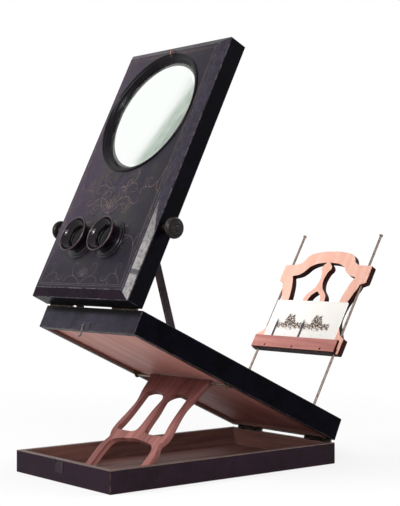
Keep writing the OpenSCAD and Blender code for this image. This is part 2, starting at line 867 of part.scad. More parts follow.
module focus_knobs() {
  color(c_black) at_panel() for (s = [-1, 1]) scale([s, 1, 1])
    translate([hw + knob_off, shaft_y, shaft_z]) rotate([0, 90, 0]) rotate_extrude($fn = 96) polygon([
      [3, 1.2], [9, 1.2], [9.6, 2], [9, 3.2], [7.4, 4], [6.8, 5.6], [7.2, 7.4], [9, 8.6], [12.6, 9.2],
      [14.8, 10], [16, 11.4], [16.3, 13.4], [16, 15.4], [15, 17], [13.4, 18], [12.4, 18.1], [11.9, 17.4],
      [11.2, 17.3], [10.6, 18.2], [8, 19], [5.4, 18.9], [4.8, 18.2], [4.2, 18.9], [2.4, 19.6], [0, 19.7],
      [0, 15], [3, 15]
    ]);
}

base_front();
base_rear();
base_left();
base_right();
base_floor();
latch_keeper();
rear_hinge_fixed();
rear_hinge_moving();
rear_hinge_pins();
table_front();
table_rear();
table_left();
table_right();
table_floor();
front_hinge_fixed();
front_hinge_moving();
front_hinge_pins();
prop_rod();
prop_plates();
prop_plate_screws();
prop();
latch_plate();
latch_pivot();
latch_hook();
stay_pins();
stay_left();
stay_right();
stay_stops();
rod_crossbar();
crossbar_pins();
rods();
rod_caps();
holder_back();
holder_ledge();
ledge_screws();
stereo_card();
panel_bottom();
panel_top();
panel_left();
panel_right();
panel_board();
top_catch();
lens_ring();
large_lens();
lens_retainer();
lens_wire_hook();
eye_flanges();
eye_tubes();
eye_rims();
eye_lenses();
eye_retainers();
focus_carrier();
focus_racks();
shaft_bushes();
focus_shaft();
focus_pinions();
focus_knobs();
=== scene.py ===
"""Folding stereoscope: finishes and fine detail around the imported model.

Lengths are metres. X runs to the viewer's right, Y to the rear and Z up.
"""

import json
import math

import bmesh
import bpy
from mathutils import Matrix, Vector


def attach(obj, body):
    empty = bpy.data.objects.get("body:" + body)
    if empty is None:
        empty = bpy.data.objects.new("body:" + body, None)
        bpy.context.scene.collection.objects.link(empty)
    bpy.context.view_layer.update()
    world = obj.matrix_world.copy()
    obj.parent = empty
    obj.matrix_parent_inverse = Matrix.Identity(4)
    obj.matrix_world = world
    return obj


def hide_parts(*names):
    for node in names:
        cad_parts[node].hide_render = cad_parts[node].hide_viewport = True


bl_info = {
    "name": "Folding Stereoscope",
    "version": (1, 0, 0),
    "blender": (4, 5, 0),
    "location": "3D View > Sidebar > Stereoscope",
    "description": "Finishes and fine detail of a folding table stereoscope",
    "category": "Object",
}

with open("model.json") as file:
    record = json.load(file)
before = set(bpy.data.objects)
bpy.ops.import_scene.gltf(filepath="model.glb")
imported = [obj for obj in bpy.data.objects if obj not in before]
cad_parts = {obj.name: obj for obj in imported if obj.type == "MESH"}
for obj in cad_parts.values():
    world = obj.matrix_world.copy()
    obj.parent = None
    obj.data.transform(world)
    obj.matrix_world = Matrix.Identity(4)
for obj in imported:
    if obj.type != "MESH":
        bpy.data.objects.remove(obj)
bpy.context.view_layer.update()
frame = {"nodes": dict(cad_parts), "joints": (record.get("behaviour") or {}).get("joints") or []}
MM = 0.001
RIGHT = Vector((1, 0, 0))


# Places: each has X to the viewer's right, Y along the piece and Z out of its face


def joint(name):
    """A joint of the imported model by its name"""
    return next(found for found in frame["joints"] if found["name"] == name)


def place(origin, along):
    """Axes at origin with Y along the given direction"""
    y = Vector(along).normalized()
    axes = Matrix((RIGHT, y, RIGHT.cross(y))).transposed().to_4x4()
    axes.translation = origin
    return axes


def reach(node, where):
    """Lowest and highest corner of a CAD node in the axes of a place"""
    inside = where.inverted()
    points = [inside @ v.co for v in frame["nodes"][node].data.vertices]
    return [Vector([pick(p[i] for p in points) for i in range(3)]) for pick in (min, max)]


TILT = math.radians(joint("table_tilt")["range_deg"][1])
PROP_LEAN = math.radians(44.5)
GROUND = Matrix.Identity(4)
TABLE = place(joint("table_tilt")["pos_m"], (0, math.cos(TILT), -math.sin(TILT)))
OUT_OF_PANEL = Vector(joint("focus_slide")["axis"])
PANEL = place(joint("panel_fold")["pos_m"], OUT_OF_PANEL.cross(RIGHT))
RODS = place(joint("rod_fold")["pos_m"], joint("holder_slide")["axis"])
PROP = place(joint("prop_fold")["pos_m"], (0, math.sin(PROP_LEAN), math.cos(PROP_LEAN)))


# Colours


def srgb(text):
    """A hex sRGB colour as linear red, green, blue and alpha"""
    parts = [int(text[i : i + 2], 16) / 255 for i in (1, 3, 5)]
    return tuple(c / 12.92 if c <= 0.04045 else ((c + 0.055) / 1.055) ** 2.4 for c in parts) + (1.0,)


def colour_property(name, description, text):
    """A colour that a user may change"""
    return bpy.props.FloatVectorProperty(
        name=name, description=description, default=srgb(text), size=4, min=0, max=1, subtype="COLOR"
    )


def length_property(name, description, millimetres):
    """A length that a user may change"""
    return bpy.props.FloatProperty(
        name=name, description=description, default=millimetres * MM, min=0, unit="LENGTH", subtype="DISTANCE"
    )


class StereoscopeColours(bpy.types.PropertyGroup):
    """Colours of the stereoscope's finishes"""

    board: colour_property("Board", "Dulled black polish on the lens panel's front", "#17131d")
    board_bloom: colour_property("Board bloom", "Grey bloom in the front's polish", "#352f3c")
    board_fade: colour_property("Board fade", "Olive drifts where the front's polish has faded", "#3a3831")
    # The sides' near black is partly their polish and partly painted shade on faces turned from the key light
    panel_side: colour_property("Panel sides", "Deep black polish on the panel's sides", "#07060f")
    table_front: colour_property("Table front", "Scuffed black on the table's front", "#1b1c21")
    table_side: colour_property("Table sides", "Deep black polish on the table's sides", "#020203")
    base_front: colour_property("Base front", "Faded black polish on the base tray's ends", "#1c101a")
    base_side: colour_property("Base sides", "Faded black polish on the base tray's sides", "#1a1214")
    base_bloom: colour_property("Base bloom", "Bloom in the base's polish", "#251722")
    bare: colour_property("Bare edge", "Brown wood where an edge has lost its polish", "#5e4a42")
    edge_rub: colour_property("Rubbed edge", "Grey edges of the front's polish", "#5f5a63")
    rim: colour_property("Rim", "Worn upper rim of the boxes", "#3c3133")
    # The right bevel's bright strip is a painted highlight
    strip: colour_property("Bevel highlight", "Painted highlight along the right bevel's lower part", "#8b8887")
    mahogany: colour_property("Mahogany", "Bare mahogany inside the boxes", "#bd857c")
    mahogany_dark: colour_property("Mahogany grain", "Dark bands of the mahogany", "#b1796f")
    # The boxes' insides are a darker mahogany than the table's underside, as painted shade
    tray: colour_property("Tray", "Mahogany inside the boxes, darkened as painted shade", "#6f4b43")
    tray_dark: colour_property("Tray grain", "Dark bands of the darkened inside mahogany", "#50322f")
    prop: colour_property("Prop", "Mahogany of the prop", "#a66d67")
    prop_dark: colour_property("Prop grain", "Dark bands of the prop's mahogany", "#70433d")
    holder: colour_property("Holder", "Pale wood of the picture holder", "#f8c5b3")
    holder_dark: colour_property("Holder grain", "Growth bands of the pale wood", "#eeb49f")
    ledge: colour_property("Ledge", "Redder wood of the holder's ledge", "#c98a80")
    ledge_dark: colour_property("Ledge grain", "Growth bands of the ledge", "#ac6c66")
    cut_edge: colour_property("Cut edge", "Dark colour of the holder's sawn edges and the ledge's underside and ends", "#30120f")
    gilding: colour_property("Tracery", "Worn gilding of the scrolls on the board", "#846850")
    brass: colour_property("Brass", "Brass of the rack and pinions, gone dull", "#6a5a3c")
    dark_brass: colour_property("Dark brass", "Brass of the hinges, nearly black with age", "#40362a")
    steel: colour_property("Steel", "Tarnished steel of rods and pins", "#8a7a72")
    steel_dark: colour_property("Steel tarnish", "Brown tarnish of the steel", "#655650")
    copper: colour_property("Copper", "Copper of the wire hook", "#b07a62")
    horn: colour_property("Horn", "Brown horn of the eyecups' lips", "#33262c")
    eyecup: colour_property("Eyecup", "Black ebonite of the eyecups", "#0b070d")
    card: colour_property("Card", "Cream board of the picture card", "#fcfaf5")
    glass: colour_property("Glass", "Faint green of the old glass", "#fbfffc")
    floor: colour_property("Floor", "Pale floor", "#f4f4f4")


class StereoscopeSizes(bpy.types.PropertyGroup):
    """Sizes of the stereoscope's fine detail"""

    box_edge: length_property("Box edge", "Rounding of the boxes' worn edges", 0.9)
    fret_edge: length_property("Fretwork edge", "Rounding of the holder's and the prop's edges", 0.7)
    metal_edge: length_property("Metal edge", "Rounding of hinge and latch plates", 0.2)
    tracery_line: length_property("Tracery line", "Width of the tracery's lines", 1.3)
    tracery_rise: length_property("Tracery rise", "Height of the tracery over the board", 0.12)
    screw_head: length_property("Screw head", "Radius of the hinge screws' heads", 1.9)
    card_corner: length_property("Card corner", "Radius of the picture card's corners", 2.5)


def colours():
    """The colours in use"""
    return bpy.context.scene.stereoscope_colours


def sizes():
    """The sizes in use"""
    return bpy.context.scene.stereoscope_sizes


# Materials


def new_material(name):
    """An empty material and its node tree"""
    material = bpy.data.materials.new(name)
    material.use_nodes = True
    material.node_tree.nodes.clear()
    return material, material.node_tree


def add_node(tree, kind, inputs=None, output=None, **settings):
    """Adds a node and gives one of its outputs: the named one, or else the first that is in use

    A key of inputs is a socket's name or number, where 6 and 7 are the two colours of a Mix node. Its value
    is a constant, or the output that feeds the socket.
    """
    made = tree.nodes.new(kind)
    for key, value in settings.items():
        setattr(made, key, value)
    for key, value in (inputs or {}).items():
        if isinstance(value, bpy.types.NodeSocket):
            tree.links.new(value, made.inputs[key])
        else:
            made.inputs[key].default_value = value
    if output:
        return made.outputs[output]
    return next((socket for socket in made.outputs if socket.enabled), None)


def spread(tree, where, *lengths):
    """Object coordinates in a place's axes, counted in one real length or in three, in millimetres"""
    return add_node(
        tree,
        "ShaderNodeMapping",
        {
            "Vector": add_node(tree, "ShaderNodeTexCoord", output="Object"),
            "Location": where.translation,
            "Rotation": where.to_euler(),
            "Scale": [length * MM for length in (lengths * 3)[:3]],
        },
        vector_type="TEXTURE",
    )


def measured(tree, where):
    """Millimetres along the axes of a place, as the outputs X, Y and Z"""
    return add_node(tree, "ShaderNodeSeparateXYZ", {"Vector": spread(tree, where, 1)}).node.outputs


def laid_over(tree, under, over, pattern, low, high, most=1.0, blend="MIX"):
    """One colour laid over another: from none where a pattern is low to the most where it is high"""
    share = add_node(tree, "ShaderNodeMapRange", {
        "Value": pattern, "From Min": low, "From Max": high, "To Max": most
    })
    return add_node(tree, "ShaderNodeMix", {0: share, 6: under, 7: over}, data_type="RGBA", blend_type=blend)


def close_surface(tree, colour, roughness, relief, depth, shader):
    """Shader, bump and output of an opaque material; shader holds the constant sockets

    The roughness is a number, or a pattern with two of its levels and the roughness at each.
    """
    if isinstance(roughness, tuple):
        levels = dict(zip(("Value", "From Min", "From Max", "To Min", "To Max"), roughness))
        roughness = add_node(tree, "ShaderNodeMapRange", levels)
    bump = add_node(tree, "ShaderNodeBump", {"Height": relief, "Distance": depth, "Strength": 1.0})
    surface = add_node(tree, "ShaderNodeBsdfPrincipled", {
        "Base Color": colour, "Roughness": roughness, "Normal": bump, **shader
    })
    add_node(tree, "ShaderNodeOutputMaterial", {"Surface": surface})


def ebonised(name, where, black, bloom, bare, rough, specular, fade=None, shades=()):
    """Ebonised wood, French polished: black with a dull bloom, and brown where edges are rubbed bare

    fade is the colour of its faded drifts, in place of the bloom's. Each of the shades tints a stretch: its
    axis, the millimetre where it starts, the one where it is full, its greatest share and its colour.
    """
    material, tree = new_material(name)
    # Bloom lies in clouds about 40 mm wide, broken up by mottling of 6 mm. The dye has faded in drifts about
    # 35 mm wide, and edges are rubbed in stretches of 9 mm. Filled grain shows as dark threads 1 by 35 mm.
    cloud, mottle, drift, rubbed, grain = [
        add_node(
            tree,
            "ShaderNodeTexNoise",
            {"Vector": spread(tree, where, *size), "Scale": 1.0, "Detail": detail, "Roughness": coarseness},
        )
        for size, detail, coarseness in (
            ([40], 6.0, 0.65),
            ([6], 4.0, 0.6),
            ([35], 5.0, 0.7),
            ([9], 5.0, 0.7),
            ([1, 35, 1], 3.0, 0.5),
        )
    ]
    bloomed = add_node(tree, "ShaderNodeMath", {0: mottle, 1: 0.6, 2: cloud}, operation="MULTIPLY_ADD")
    polish = laid_over(tree, black, bloom, bloomed, 0.62, 0.98)
    polish = laid_over(tree, polish, fade or bloom, drift, 0.46, 0.6, 0.7)
    own = measured(tree, where)
    for axis, start, full, most, shade in shades:
        polish = laid_over(tree, polish, shade, own[axis], start, full, most)
    polish = laid_over(tree, polish, black, grain, 0.45, 0.75, 0.5)
    patch = add_node(tree, "ShaderNodeMapRange", {"Value": rubbed, "From Min": 0.42, "From Max": 0.6})
    edge = add_node(tree, "ShaderNodeAttribute", output="Fac", attribute_name="edge")
    wear = add_node(tree, "ShaderNodeMath", {0: patch, 1: edge}, operation="MULTIPLY")
    colour = add_node(tree, "ShaderNodeMix", {0: wear, 6: polish, 7: bare}, data_type="RGBA")
    relief = add_node(tree, "ShaderNodeMath", {0: mottle, 1: 0.6, 2: grain}, operation="MULTIPLY_ADD")
    close_surface(tree, colour, (cloud, 0.3, 0.7, *rough), relief, 0.00012, {"Specular IOR Level": specular})
    return material


def bare_wood(name, where, pale, dark, along="y", rough=(0.45, 0.62), specular=0.25, painted_shade=None):
    """Oiled wood, planed: bands of colour along the grain with fine dark pores, satin

    The grain runs along the place's x or y. The last argument darkens the wood along Y as painted shade:
    the millimetre where it starts, the one where it is full and its tint.
    """
    material, tree = new_material(name)
    # Bands of heartwood are about 14 mm wide and wander along the board. Pores are drawn 0.7 mm wide and 9 mm
    # long, coarser than the real ones, so that they show.
    wide, fine = {"y": ((14, 200, 14), (0.7, 9, 0.7)), "x": ((200, 14, 14), (9, 0.7, 0.7))}[along]
    band = add_node(tree, "ShaderNodeTexNoise", {
        "Vector": spread(tree, where, *wide), "Scale": 1.0, "Detail": 5.0, "Roughness": 0.6, "Distortion": 0.5
    })
    timber = laid_over(tree, pale, dark, band, 0.33, 0.68)
    pore = add_node(tree, "ShaderNodeTexNoise", {
        "Vector": spread(tree, where, *fine), "Scale": 1.0, "Detail": 2.0
    })
    pored = laid_over(tree, timber, dark, pore, 0.52, 0.74, 0.3, "MULTIPLY")
    # Handling leaves the edges a little darker
    edge = add_node(tree, "ShaderNodeAttribute", output="Fac", attribute_name="edge")
    soiled = add_node(tree, "ShaderNodeMath", {0: edge, 1: 0.35}, operation="MULTIPLY")
    colour = add_node(tree, "ShaderNodeMix", {0: soiled, 6: pored, 7: dark}, data_type="RGBA")
    if painted_shade:
        # Painted shade: the wood darkens along Y into the shadow under the table
        start, full, tint = painted_shade
        colour = laid_over(tree, colour, tint, measured(tree, where)["Y"], start, full, 0.85, "MULTIPLY")
    close_surface(tree, colour, (band, 0.3, 0.7, *rough), pore, 0.0001, {"Specular IOR Level": specular})
    return material


def metal(name, where, bright, dull, rough):
    """Old metal, once polished: tarnished in spots of a few millimetres, with fine scratches"""
    material, tree = new_material(name)
    spot = add_node(tree, "ShaderNodeTexNoise", {
        "Vector": spread(tree, where, 6), "Scale": 1.0, "Detail": 6.0, "Roughness": 0.7
    })
    colour = laid_over(tree, bright, dull, spot, 0.4, 0.62)
    # Scratches are drawn 0.4 mm wide, coarser than the real ones, so that they show
    scratch = add_node(tree, "ShaderNodeTexNoise", {
        "Vector": spread(tree, where, 0.4, 12, 0.4), "Scale": 1.0, "Detail": 2.0
    })
    close_surface(tree, colour, (spot, 0.35, 0.65, *rough), scratch, 0.00003, {"Metallic": 1.0})
    return material


def ebonite(name, where, black, brown, rough, specular):
    """Turned ebonite, polished: near black, with faint turning lines and a brown tinge where it has faded"""
    material, tree = new_material(name)
    fade = add_node(tree, "ShaderNodeTexNoise", {
        "Vector": spread(tree, where, 20), "Scale": 1.0, "Detail": 4.0
    })
    colour = laid_over(tree, black, brown, fade, 0.45, 0.75, 0.6)
    # Turning lines run round the piece, 0.6 mm apart along its axis
    line = add_node(tree, "ShaderNodeTexNoise", {
        "Vector": spread(tree, where, 50, 50, 0.6), "Scale": 1.0, "Detail": 1.0
    })
    close_surface(tree, colour, (fade, 0.3, 0.7, *rough), line, 0.000004, {"Specular IOR Level": specular})
    return material


def clear_glass(name, tint, index=1.52, painted_reflection=None):
    """Polished optical glass: clear and faintly green, with a painted reflection tinting part of an old lens
    """
    material, tree = new_material(name)
    # Slow waves of the old polishing, 60 mm long and far too low to see as relief
    wave = add_node(tree, "ShaderNodeTexNoise", {
        "Vector": spread(tree, PANEL, 60), "Scale": 1.0, "Detail": 0.0
    })
    bump = add_node(tree, "ShaderNodeBump", {"Height": wave, "Distance": 0.0001, "Strength": 0.2})
    if painted_reflection:
        # The painted reflection lies right of a slanting line; its border is mottled in streaks 9 mm wide
        own = measured(tree, PANEL)
        slant = add_node(
            tree, "ShaderNodeMath", {0: own["Y"], 1: -0.5, 2: own["X"]}, operation="MULTIPLY_ADD"
        )
        leaning = PANEL @ Matrix.Rotation(-0.46, 4, "Z")
        noise = {"Vector": spread(tree, leaning, 9, 40, 9), "Scale": 1.0, "Detail": 4.0, "Roughness": 0.65}
        streak = add_node(tree, "ShaderNodeTexNoise", noise)
        border = add_node(tree, "ShaderNodeMath", {0: streak, 1: 22.0, 2: slant}, operation="MULTIPLY_ADD")
        levels = {"Value": border, "From Min": painted_reflection - 5, "From Max": painted_reflection + 14}
        inside = add_node(tree, "ShaderNodeMapRange", levels, interpolation_type="SMOOTHSTEP")
        reflection_tint = laid_over(tree, srgb("#b4c3b7"), srgb("#dcebdc"), streak, 0.38, 0.62)
        tint = add_node(tree, "ShaderNodeMix", {0: inside, 6: tint, 7: reflection_tint}, data_type="RGBA")
    shader = {"Base Color": tint, "Roughness": 0.0, "IOR": index, "Transmission Weight": 1.0, "Normal": bump}
    surface = add_node(tree, "ShaderNodeBsdfPrincipled", shader)
    add_node(tree, "ShaderNodeOutputMaterial", {"Surface": surface})
    return material


def ground_glass(name):
    """The lens's ground rim: pale green grey and matt, with grit marks drawn 3 mm wide so that they show"""
    material, tree = new_material(name)
    grit = add_node(tree, "ShaderNodeTexNoise", {
        "Vector": spread(tree, PANEL, 3), "Scale": 1.0, "Detail": 3.0
    })
    tints = {0: grit, 6: srgb("#b9c7bb"), 7: srgb("#e2ebe2")}
    colour = add_node(tree, "ShaderNodeMix", tints, data_type="RGBA")
    close_surface(tree, colour, 0.8, grit, 0.0001, {"Specular IOR Level": 0.3})
    return material


def bore_black(name):
    """Dull black paint inside the eyepiece tubes, laid on with a brush: fine ribs 1 mm apart"""
    material, tree = new_material(name)
    rib = add_node(tree, "ShaderNodeTexNoise", {
        "Vector": spread(tree, PANEL, 30, 30, 1), "Scale": 1.0, "Detail": 2.0
    })
    tints = {0: rib, 6: srgb("#060506"), 7: srgb("#0e0c0e")}
    colour = add_node(tree, "ShaderNodeMix", tints, data_type="RGBA")
    close_surface(tree, colour, 0.9, rib, 0.00008, {"Specular IOR Level": 0.02})
    return material


# Meshes


def finish_mesh(name, bm, materials, sharp=35.0):
    """Turns a bmesh into an object with smooth faces, sharp where they meet at more than the given angle"""
    mesh = bpy.data.meshes.new(name)
    bm.to_mesh(mesh)
    bm.free()
    for material in materials:
        mesh.materials.append(material)
    mesh.shade_smooth()
    mesh.set_sharp_from_angle(angle=math.radians(sharp))
    made = bpy.data.objects.new(name, mesh)
    bpy.context.scene.collection.objects.link(made)
    return made


def worn_copy(node, name, body, slot, materials, width, angle=50.0, choose=None):
    """A merged copy stands for a CAD node, with its edges rounded where faces meet at more than angle

    choose gives each face's material. An attribute named edge is 1 on the rounded faces.
    """
    bm = bmesh.new()
    bm.from_mesh(frame["nodes"][node].data)
    bmesh.ops.remove_doubles(bm, verts=bm.verts, dist=0.00001)
    bmesh.ops.dissolve_limit(
        bm, angle_limit=math.radians(0.4), use_dissolve_boundaries=False, verts=bm.verts, edges=bm.edges
    )
    edge = bm.faces.layers.float.new("edge")
    for face in bm.faces:
        face.material_index = choose(face) if choose else 0
    limit = math.radians(angle)
    rounded = bmesh.ops.bevel(
        bm,
        geom=[e for e in bm.edges if e.is_manifold and e.calc_face_angle(0) > limit],
        offset=width,
        offset_type="OFFSET",
        segments=2,
        profile=0.5,
        affect="EDGES",
        clamp_overlap=True,
        material=-1,
    )
    for face in rounded["faces"]:
        face[edge] = 1.0
    made = finish_mesh(name, bm, materials, sharp=50.0)
    # The large faces rule the shading, so that flat wood stays flat beside its rounded edges
    weighting = made.modifiers.new("even_normals", "WEIGHTED_NORMAL")
    weighting.mode = "FACE_AREA"
    weighting.keep_sharp = True
    settle(made, body, slot, node)


def turned(name, where, outline, materials, steps=96, sharp=35.0, choose=None):
    """A piece turned on a lathe: outline holds (radius, height) points in millimetres round Z of a place

    choose gives a face's material from the radius of its middle.
    """
    bm = bmesh.new()
    points = [bm.verts.new((radius * MM, 0, height * MM)) for radius, height in outline]
    for a, b in zip(points, points[1:] + points[:1]):
        bm.edges.new((a, b))
    bmesh.ops.spin(
        bm,
        geom=bm.verts[:] + bm.edges[:],
        cent=(0, 0, 0),
        axis=(0, 0, 1),
        angle=math.tau,
        steps=steps,
        use_merge=True,
    )
    bmesh.ops.remove_doubles(bm, verts=bm.verts, dist=0.000005)
    bmesh.ops.recalc_face_normals(bm, faces=bm.faces)
    for face in bm.faces:
        face.material_index = choose((face.calc_center_median() / MM).xy.length) if choose else 0
    bmesh.ops.transform(bm, matrix=where, verts=bm.verts)
    return finish_mesh(name, bm, materials, sharp)


def arc(centre, radius, start, stop, steps):
    """Points of an arc in the outline's plane, with angles in degrees"""
    turn = [math.radians(start + (stop - start) * i / steps) for i in range(steps + 1)]
    return [(centre[0] + radius * math.cos(a), centre[1] + radius * math.sin(a)) for a in turn]


def lens_outline(edge, flat, centre, rim, rise, count):
    """Outline of a lens round a middle height: on either side a dome stands on a rim and rises over it

    The domes reach out to the radius flat and the rim to the radius edge. The rim is 2 * rim thick.
    """
    dome = [(flat * i / count, rim + rise * (1 - (i / count) ** 2)) for i in range(count + 1)]
    rear = [(radius, centre - height) for radius, height in dome]
    front = [(radius, centre + height) for radius, height in reversed(dome)]
    return [*rear, (edge, centre - rim), (edge, centre + rim), *front]


def soft_line(points, steps=4):
    """A smooth curve through a row of points"""
    made = []
    for i in range(len(points) - 1):
        a, b = Vector(points[max(i - 1, 0)]), Vector(points[i])
        c, d = Vector(points[i + 1]), Vector(points[min(i + 2, len(points) - 1)])
        bend, twist = 2 * a - 5 * b + 4 * c - d, 3 * b - a - 3 * c + d
        for k in range(steps):
            t = k / steps
            spot = 2 * b + (c - a) * t + bend * t * t + twist * t * t * t
            made.append(tuple(0.5 * spot))
    return made + [tuple(points[-1])]


def settle(piece, body, slot, *nodes):
    """A piece rides on a body and may stand for CAD nodes, which it hides; slot is not used"""
    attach(piece, body)
    if nodes:
        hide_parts(*nodes)


def dress(material, *nodes):
    """Gives CAD nodes a material"""
    for name in nodes:
        mesh = frame["nodes"][name].data
        mesh.materials.clear()
        mesh.materials.append(material)


def facing(where, middle):
    """Sorts a rail's faces: 0 for the outside, 1 for the inside, 2 for the rims"""
    turn = where.to_3x3().inverted()
    back = where.inverted()

    def choose(face):
        normal = turn @ face.normal
        offset = back @ face.calc_center_median() - middle
        if abs(normal.z) > 0.6:
            return 2
        sideways = abs(normal.x) > abs(normal.y)
        outward = normal.x * offset.x if sideways else normal.y * offset.y
        return 0 if outward > 0 else 1

    return choose


# Boxes


def make_rails(box, where, sides, black, inside, rim, body):
    """The four rails of a box, black outside and bare inside"""
    low, _ = reach(f"{box}_{sides[0]}", where)
    _, high = reach(f"{box}_{sides[1]}", where)
    choose = facing(where, (low + high) / 2)
    for side in (*sides, "left", "right"):
        along = "x" if side in sides else "y"
        node = f"{box}_{side}"
        skins = [black[along], inside[along], rim]
        worn_copy(node, f"{node}_rail", body, "ebonised", skins, sizes().box_edge, 30.0, choose)


class STEREOSCOPE_OT_base(bpy.types.Operator):
    """Base tray: faded ebonised rails, bare mahogany inside"""

    bl_idname = "stereoscope.base"
    bl_label = "Base tray"

    def execute(self, context):
        c = colours()
        black = {
            "x": ebonised("base_end_polish", GROUND, c.base_front, c.base_bloom, c.bare, (0.38, 0.6), 0.06),
            "y": ebonised("base_side_polish", GROUND, c.base_side, c.base_bloom, c.bare, (0.38, 0.6), 0.05),
        }
        # The tray's inside is painted darker, as painted shade
        inside = {way: bare_wood(f"tray_wood_{way}", GROUND, c.tray, c.tray_dark, way) for way in "xy"}
        rim = ebonised("base_rim_polish", GROUND, c.rim, c.bare, c.bare, (0.45, 0.6), 0.4)
        make_rails("base", GROUND, ("front", "rear"), black, inside, rim, "base")
        dress(inside["y"], "base_floor")
        return {"FINISHED"}


class STEREOSCOPE_OT_table(bpy.types.Operator):
    """Table box: black polish outside, mahogany under the floor panel and in the tray"""

    bl_idname = "stereoscope.table"
    bl_label = "Table box"

    def execute(self, context):
        c = colours()
        # Painted shadow: the table's front is deep black under the lens panel, where the panel's shadow
        # falls.
        # It is also darker at the right.
        shades = [("X", 30.0, 125.0, 0.5, c.table_side), ("Z", 26.0, 32.0, 0.95, c.table_side)]
        front = ebonised(
            "table_front_polish", TABLE, c.table_front, c.board_bloom, c.edge_rub, (0.4, 0.6), 0.08,
            shades=shades,
        )
        # The sides are near black: partly their polish, partly painted shade
        side = ebonised(
            "table_side_polish", TABLE, c.table_side, c.panel_side, c.board_bloom, (0.25, 0.4), 0.02
        )
        # The rails' insides are painted darker, as painted shade
        inside = {way: bare_wood(f"table_rail_wood_{way}", TABLE, c.tray, c.tray_dark, way) for way in "xy"}
        # The underside is painted darker towards the hinge, as painted shade
        wood = bare_wood("table_wood", TABLE, c.mahogany, c.mahogany_dark, painted_shade=(-400, -100, srgb("#b39a9a")))
        rim = ebonised("table_rim_polish", TABLE, c.table_side, c.base_side, c.bare, (0.35, 0.55), 0.15)
        make_rails("table", TABLE, ("front", "rear"), {"x": front, "y": side}, inside, rim, "table")
        dress(wood, "table_floor")
        return {"FINISHED"}


# Lens panel


class STEREOSCOPE_OT_panel(bpy.types.Operator):
    """Lens panel: rails, front board with its bevels and the painted highlight on the right one, and the stay
    stops
    """

    bl_idname = "stereoscope.panel"
    bl_label = "Lens panel"

    def execute(self, context):
        c = colours()
        # The sides are near black: partly their polish, partly painted shade
        black = ebonised(
            "panel_side_polish", PANEL, c.panel_side, c.table_side, c.board_bloom, (0.22, 0.4), 0.04
        )
        # The rails' insides are painted darker, as painted shade
        inside = {way: bare_wood(f"panel_wood_{way}", PANEL, c.tray, c.tray_dark, way) for way in "xy"}
        rim = ebonised("panel_rim_polish", PANEL, c.panel_side, c.base_side, c.bare, (0.35, 0.55), 0.15)
        make_rails("panel", PANEL, ("bottom", "top"), {"x": black, "y": black}, inside, rim, "lens_panel")
        # The front's polish is darker low down and at the right, and lighter and more violet at the left
        shades = [
            ("X", -20.0, -110.0, 0.7, srgb("#3d3041")),
            ("Y", 110.0, 40.0, 0.85, c.board),
            ("X", 25.0, 100.0, 0.85, c.board),
        ]
        front = ebonised(
            "board_polish", PANEL, c.board, c.board_bloom, c.edge_rub, (0.35, 0.55), 0.1, c.board_fade, shades
        )
        foot = ebonised(
            "board_foot_polish", PANEL, srgb("#100812"), srgb("#20151f"), c.edge_rub, (0.4, 0.6), 0.04
        )
        skins = [front, bevel_painted_highlight("board_bevel_highlight_polish"), inside["y"], foot]
        turn = PANEL.to_3x3().inverted()

        def choose(face):
            normal = turn @ face.normal
            if normal.z < -0.5:
                return 2
            if normal.y < -0.3:
                return 3
            return 1 if normal.x > 0.3 and normal.z > 0.3 else 0

        worn_copy(
            "panel_board", "front_board", "lens_panel", "ebonised", skins, sizes().box_edge, 30.0, choose
        )
        dress(inside["y"], "stay_stops")
        return {"FINISHED"}


